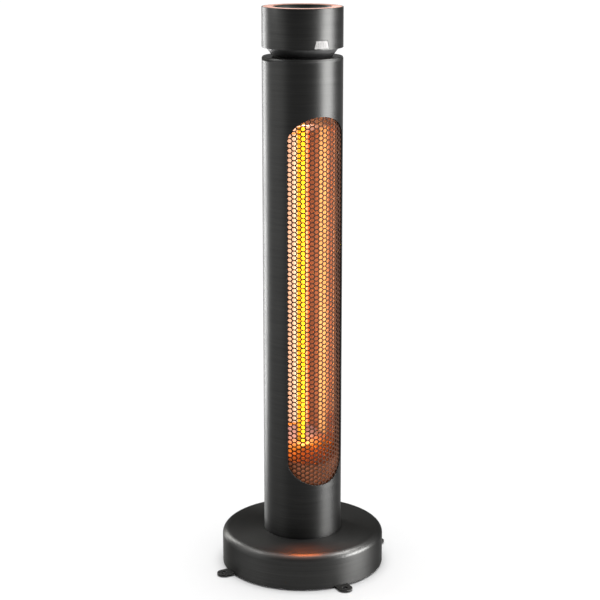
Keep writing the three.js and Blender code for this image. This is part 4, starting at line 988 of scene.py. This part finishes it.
@dataclass
class ControlHead:
    """The head on its neck: shell, display, trim ring and recessed panel with its keys."""

    radius: float = 55 * MM
    button_circle: float = 20 * MM
    boss_circle: float = 30 * MM
    mark_floor: float = 786.86 * MM
    mark_height: float = 0.14 * MM
    sill: float = 739.25 * MM
    display_height: float = 10.25 * MM
    display_widths: tuple[float, float] = (21.5 * MM, 17 * MM)
    lens_depths: tuple[float, float] = (0.15 * MM, 3.1 * MM)

    def build(self) -> None:
        """Makes the head's pieces."""
        self.neck()
        self.shell()
        self.display()
        self.ring()
        self.panel()
        marks = (("power", self.power_mark), ("plus", self.plus_mark), ("timer", self.timer_mark),
                 ("minus", self.minus_mark))
        for turn, (key, mark) in zip(QUARTERS, marks):
            self.button(f"{key}_button", f"{key}_key", turn, mark)

    def neck(self) -> None:
        """Makes the neck cone with its two spigots."""
        profile = [(33.7, 723.5), (33.7, 725.5), (40.2, 725.5), (40.5, 725.8), (49.2, 737.1), (49.2, 737.5),
                   (37.7, 737.5), (37.7, 740), (35.7, 740), (31.7, 723.5)]
        Fitter.turned("neck_cone_skin", profile, 160, Look.NECK, "neck_cone")

    def shell(self) -> None:
        """Makes the head's shell, with the display's window cut in its front."""
        profile = [(54.3, 737.5), (54.75, 737.7), (55, 738.2), (55, 738.7), (55, 750.0), (55, 750.6), (55, 790.7),
                   (54.8, 791.25), (54.3, 791.5), (53.5, 791.5), (53.5, 786.25), (51.5, 786.25), (51.5, 740),
                   (38, 740), (38, 737.5)]
        shell = Fitter.turned("head_shell_skin", profile, 192, Look.GUNMETAL, "head_shell")
        Fitter.carve(shell, MeshSketch().prism(self.display_outline(0.3 * MM), 48 * MM, 58 * MM, rotation(90, "X")))

    def display_outline(self, margin: float) -> Profile:
        """Returns the display's outline in front view, grown by a margin."""
        low, high = [width / 2 + margin for width in self.display_widths]
        foot, top = self.sill - margin, self.sill + self.display_height + margin
        return [(-low, foot), (low, foot), (high, top), (-high, top)]

    def display(self) -> None:
        """Makes the curved lens in the shell's window, with faint segments behind its face."""
        edges = list(zip(self.display_widths, (self.sill, self.sill + self.display_height)))
        verts, steps = [], 24
        for i in range(steps + 1):
            for depth in self.lens_depths:
                for x, z in [(width * (i / steps - 0.5), z) for width, z in edges]:
                    verts.append((x, -math.sqrt((self.radius - depth) ** 2 - x ** 2), z))
        lens = Fitter.piece("display_lens", MeshSketch().strip(verts), Look.LENS, "display_window")
        Fitter.soften(lens, 0.25 * MM, 60)
        bars = MeshSketch()
        for x in (-5.6, -1.9, 1.9, 5.6):
            y = -math.sqrt((55 - 0.12) ** 2 - x ** 2)
            for z in (741.3, 744.6):
                bars.prism(mm(box(x - 0.25, y - 0.02, x + 0.25, y + 0.5)), z * MM, (z + 2.6) * MM)
        Fitter.piece("display_segments", bars, Look.BUTTON)

    def ring(self) -> None:
        """Makes the copper ring with softly rounded shoulders."""
        profile = [(39.5, 788.25), (53.2, 788.25), (53.2, 791.0), (53.05, 791.3), (52.7, 791.45), (52.2, 791.5),
                   (40.6, 791.5), (40.0, 791.35), (39.6, 790.9)]
        Fitter.turned("trim_ring_band", profile, 192, Look.COPPER, "trim_ring", smooth=45)

    def panel(self) -> None:
        """Makes the recessed panel with a fillet round its floor, bosses and button holes."""
        profile = [(0, 784.5), (39.2, 784.5), (39.2, 786.25), (53.2, 786.25), (53.2, 788.25), (39.2, 788.25),
                   (39.2, 791.0), (39.0, 791.2), (38.2, 791.2), (37.95, 791.0), (37.95, 787.4), (37.6, 786.8),
                   (37.0, 786.5), (0, 786.5)]
        panel = Fitter.turned("control_panel_dish", profile, 160, Look.PANEL, "control_panel")
        holes, bosses = MeshSketch(), MeshSketch()
        for turn in QUARTERS:
            holes.lathe(box(0.0, 0.780, 5.5 * MM, 0.790), 48, spot(self.button_circle, turn))
        Fitter.carve(panel, holes, 0.2 * MM, 60)
        for turn in (45, 165, 285):
            bosses.lathe(mm(box(0.9, 779.5, 3.0, 784.5)), 24, spot(self.boss_circle, turn))
        Fitter.piece("panel_bosses", bosses, Look.PANEL)

    def button(self, node: str, body: str, turn: float, mark: Callable[[Matrix], MeshSketch]) -> None:
        """Makes one key with a shallow dish, and its mark.

        Args:
            node: the CAD node that it replaces.
            body: the body that it rides on.
            turn: its place round the panel in degrees.
            mark: the call that returns its mark's sketch at a placement.
        """
        profile = [(0, 783.2), (6.5, 783.2), (6.5, 784.2), (5.2, 784.2), (5.2, 786.7), (5.05, 787.0), (4.7, 787.1),
                   (4.2, 787.05), (3.0, 786.92), (1.5, 786.85), (0, 786.83)]
        key = MeshSketch().lathe(mm(profile), 56, spot(self.button_circle, turn))
        Fitter.piece(f"{node}_dish", key, Look.BUTTON, node, body=body)
        place = spot(self.button_circle, turn, self.mark_floor) @ rotation(-turn)
        Fitter.piece(f"{node}_mark", mark(place), Look.SYMBOL, body=body)

    def bar(self, sketch: MeshSketch, place: Matrix, width: float, length: float, shift: float = 0.0) -> MeshSketch:
        """Adds a thin raised bar in millimetres and returns the sketch."""
        outline = box(-width / 2, shift - length / 2, width / 2, shift + length / 2)
        return sketch.prism(mm(outline), 0.0, self.mark_height, place)

    def power_mark(self, place: Matrix) -> MeshSketch:
        """Returns an open ring with a bar."""
        outline = [*arc(0, 0, 2.0, 2.0, -230, 50, 32), *arc(0, 0, 1.6, 1.6, 50, -230, 32)]
        return self.bar(MeshSketch().prism(mm(outline), 0.0, self.mark_height, place), place, 0.4, 1.7, 1.35)

    def plus_mark(self, place: Matrix) -> MeshSketch:
        """Returns a plus sign made of three bars."""
        sketch, side = self.bar(MeshSketch(), place, 0.45, 3.4), place @ rotation(90)
        self.bar(sketch, side, 0.45, 1.4, 0.975)
        return self.bar(sketch, side, 0.45, 1.4, -0.975)

    def minus_mark(self, place: Matrix) -> MeshSketch:
        """Returns a minus sign."""
        return self.bar(MeshSketch(), place @ rotation(90), 0.45, 3.4)

    def timer_mark(self, place: Matrix) -> MeshSketch:
        """Returns a clock face with two hands."""
        outer, inner, top = 2.0 * MM, 1.6 * MM, self.mark_height
        sketch = MeshSketch().lathe([(outer, 0.0), (outer, top), (inner, top), (inner, 0.0)], 40, place)
        self.bar(sketch, place, 0.35, 1.3, 0.65)
        return self.bar(sketch, place @ rotation(-90), 0.35, 0.8, 0.6)

    def dress(self) -> None:
        """Finishes the boards and switches inside the head."""
        Fitter.dress(Look.BOARD, "control_board", "display_board", bevel=0.15 * MM)
        Fitter.dress(Look.PLASTIC, *numbered("tact_switch"), bevel=0.2 * MM)


# ---- Studio ----

LINING = ("reflector_trough", "reflector_bottom_plate", "reflector_top_plate", "reflector_front_lip")
FLOOR = Moulded("", (0.86, 0.86, 0.86), (0.88, 0.88, 0.88), (0.6, 0.7), 0.0, 0.02, 0.0, (), 300.0, 6.0)


def limit_reach(light: Thing, names: tuple[str, ...], state: str) -> None:
    """Links a light and its shadows to the named objects: INCLUDE for only these, EXCLUDE for all but these."""
    reach = bpy.data.collections.new(f"{light.name}_reach")
    for name in names:
        reach.objects.link(bpy.data.objects[name])
    for item in reach.collection_objects:
        item.light_linking.link_state = state
    light.light_linking.receiver_collection = light.light_linking.blocker_collection = reach


@dataclass(frozen=True)
class SoftBox:
    """One tall soft light, placed by its turn from the front and aimed at the tower."""

    name: str
    turn: float
    distance: float
    height: float
    size: tuple[float, float]
    power: float
    colour: Colour = (1.0, 1.0, 1.0)
    aim: float = 0.5
    away: bool = False
    soft_only: bool = False
    only: tuple[str, ...] = ()
    skips: tuple[str, ...] = (*LINING, "mesh_grille_sheet", "trim_ring_band")

    def place(self) -> None:
        """Adds the light. It reaches only the pieces in only, or all but the floor and those in skips."""
        data = bpy.data.lights.new(self.name, "AREA")
        data.shape = "RECTANGLE"
        data.size, data.size_y = self.size
        data.energy, data.color = self.power, self.colour
        light = put(self.name, data)
        light.location = around(self.distance, math.radians(self.turn), self.height)
        way = Vector((0, 0, self.aim)) - light.location
        light.rotation_euler = (-way if self.away else way).to_track_quat("-Z", "Y").to_euler()
        light.visible_camera, light.visible_glossy = False, not self.soft_only
        if self.only:
            limit_reach(light, self.only, "INCLUDE")
        else:
            limit_reach(light, ("studio_floor", *self.skips), "EXCLUDE")


@dataclass
class Studio:
    """A pale floor, soft lights and the camera at the photograph's angle."""

    camera_turn: float = -28.0
    camera_distance: float = 2.203
    camera_height: float = 0.947
    camera_pitch: float = 14.26
    lens: float = 97.8
    sensor: float = 36.0
    clip: tuple[float, float] = (0.05, 100.0)
    shift: tuple[float, float] = (-0.0042, 0.0)
    world: float = 0.45
    overhead: float = 2.6
    overhead_angle: float = 50.0
    floor_half: float = 14.0
    boxes: tuple[SoftBox, ...] = (
        SoftBox("key_right", 46.0, 1.3, 0.5, (0.84, 1.4), 129.0,
                skips=(*LINING, "base_cover_shell", "trim_ring_band", "control_panel_dish", "quartz_sleeve")),
        SoftBox("key_low", 48.0, 0.9, 0.14, (0.58, 0.26), 36.0, aim=0.1,
                skips=(*LINING, "mesh_grille_sheet", "tower_tube_shell", "quartz_sleeve")),
        SoftBox("key_high", 60.0, 1.1, 1.5, (0.9, 0.5), 65.0, aim=0.05),
        SoftBox("rim_left", -162.0, 1.3, 0.5, (0.34, 1.5), 64.0),
        SoftBox("rim_high", -120.0, 1.1, 1.4, (0.6, 0.5), 18.0, aim=0.05),
        SoftBox("fill_left", -104.0, 1.3, 0.5, (1.3, 1.4), 11.0),
        SoftBox("head_back", 152.0, 2.6, 0.99, (1.2, 0.4), 2.4, aim=0.8, skips=LINING),
        SoftBox("window_glow", -22.0, 0.062, 0.36, (0.06, 0.42), 8.0, (1.0, 0.20, 0.035), aim=0.36, away=True,
                only=("base_cover_shell",)),
        SoftBox("lamp_back", 180.0, -0.012, 0.41, (0.012, 0.46), 0.66, (1.0, 0.82, 0.66), aim=0.41, soft_only=True,
                skips=("carbon_spiral", "quartz_sleeve")),
    )

    def build(self) -> None:
        """Makes the floor and the lights."""
        self.floor()
        for soft_box in self.boxes:
            soft_box.place()
        self.zenith()
        self.background()

    def camera(self) -> None:
        """Adds the camera."""
        data = bpy.data.cameras.new("camera")
        data.lens, data.sensor_width = self.lens, self.sensor
        data.shift_x, data.shift_y = self.shift
        data.clip_start, data.clip_end = self.clip
        camera = put("camera", data)
        turn, pitch = math.radians(self.camera_turn), math.radians(self.camera_pitch)
        camera.location = around(self.camera_distance, turn, self.camera_height)
        way = -Vector(around(math.cos(pitch), turn, math.sin(pitch)))
        camera.rotation_euler = way.to_track_quat("-Z", "Y").to_euler()
        bpy.context.scene.camera = camera
        bpy.context.scene.view_settings.view_transform = "Standard"

    def background(self) -> None:
        """Lights the scene evenly from all round, and shows a white backdrop."""
        world = bpy.context.scene.world or bpy.data.worlds.new("studio")
        bpy.context.scene.world = world
        world.use_nodes = True
        back = world.node_tree.nodes["Background"].inputs
        back["Color"].default_value = (1.0, 1.0, 1.0, 1.0)
        graph = NodeGraph(world.node_tree)
        seen = graph.add("LightPath").outputs["Is Camera Ray"]
        world.node_tree.links.new(graph.remap(seen, 0.0, 1.0, self.world), back["Strength"])

    def zenith(self) -> None:
        """Lights every upward face but the trim ring's evenly from straight above."""
        data = bpy.data.lights.new("overhead", "SUN")
        data.energy, data.angle = self.overhead, math.radians(self.overhead_angle)
        light = put("overhead", data)
        light.location = (0.0, 0.0, 3.0)
        limit_reach(light, ("trim_ring_band",), "EXCLUDE")

    def floor(self) -> None:
        """Adds the floor as a stage piece."""
        half = self.floor_half
        corners = [(x, y, 0) for x, y in box(-half, -half, half, half)]
        floor = put("studio_floor", MeshSketch().add(corners, [(0, 1, 2, 3)]).mesh("studio_floor"))
        floor.data.materials.append(FLOOR.material("studio_floor"))
        floor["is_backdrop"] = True


def main() -> None:
    """Builds and dresses the heater, sets up the studio and logs how many pieces each part adds."""
    logging.basicConfig(level=logging.INFO, format="%(name)s: %(message)s")
    studio = Studio()
    studio.camera()
    for assembly in (WeightedBase(), TowerTube(), MeshGrille(), Reflector(), Lamp(), ControlHead()):
        before = len(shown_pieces())
        assembly.build()
        assembly.dress()
        LOG.info("%s: built and dressed, %+d pieces", type(assembly).__name__, len(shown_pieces()) - before)
    studio.build()
    LOG.info("studio: camera, lights and floor are set")
    bpy.context.view_layer.update()


if __name__ == "__main__":
    main()
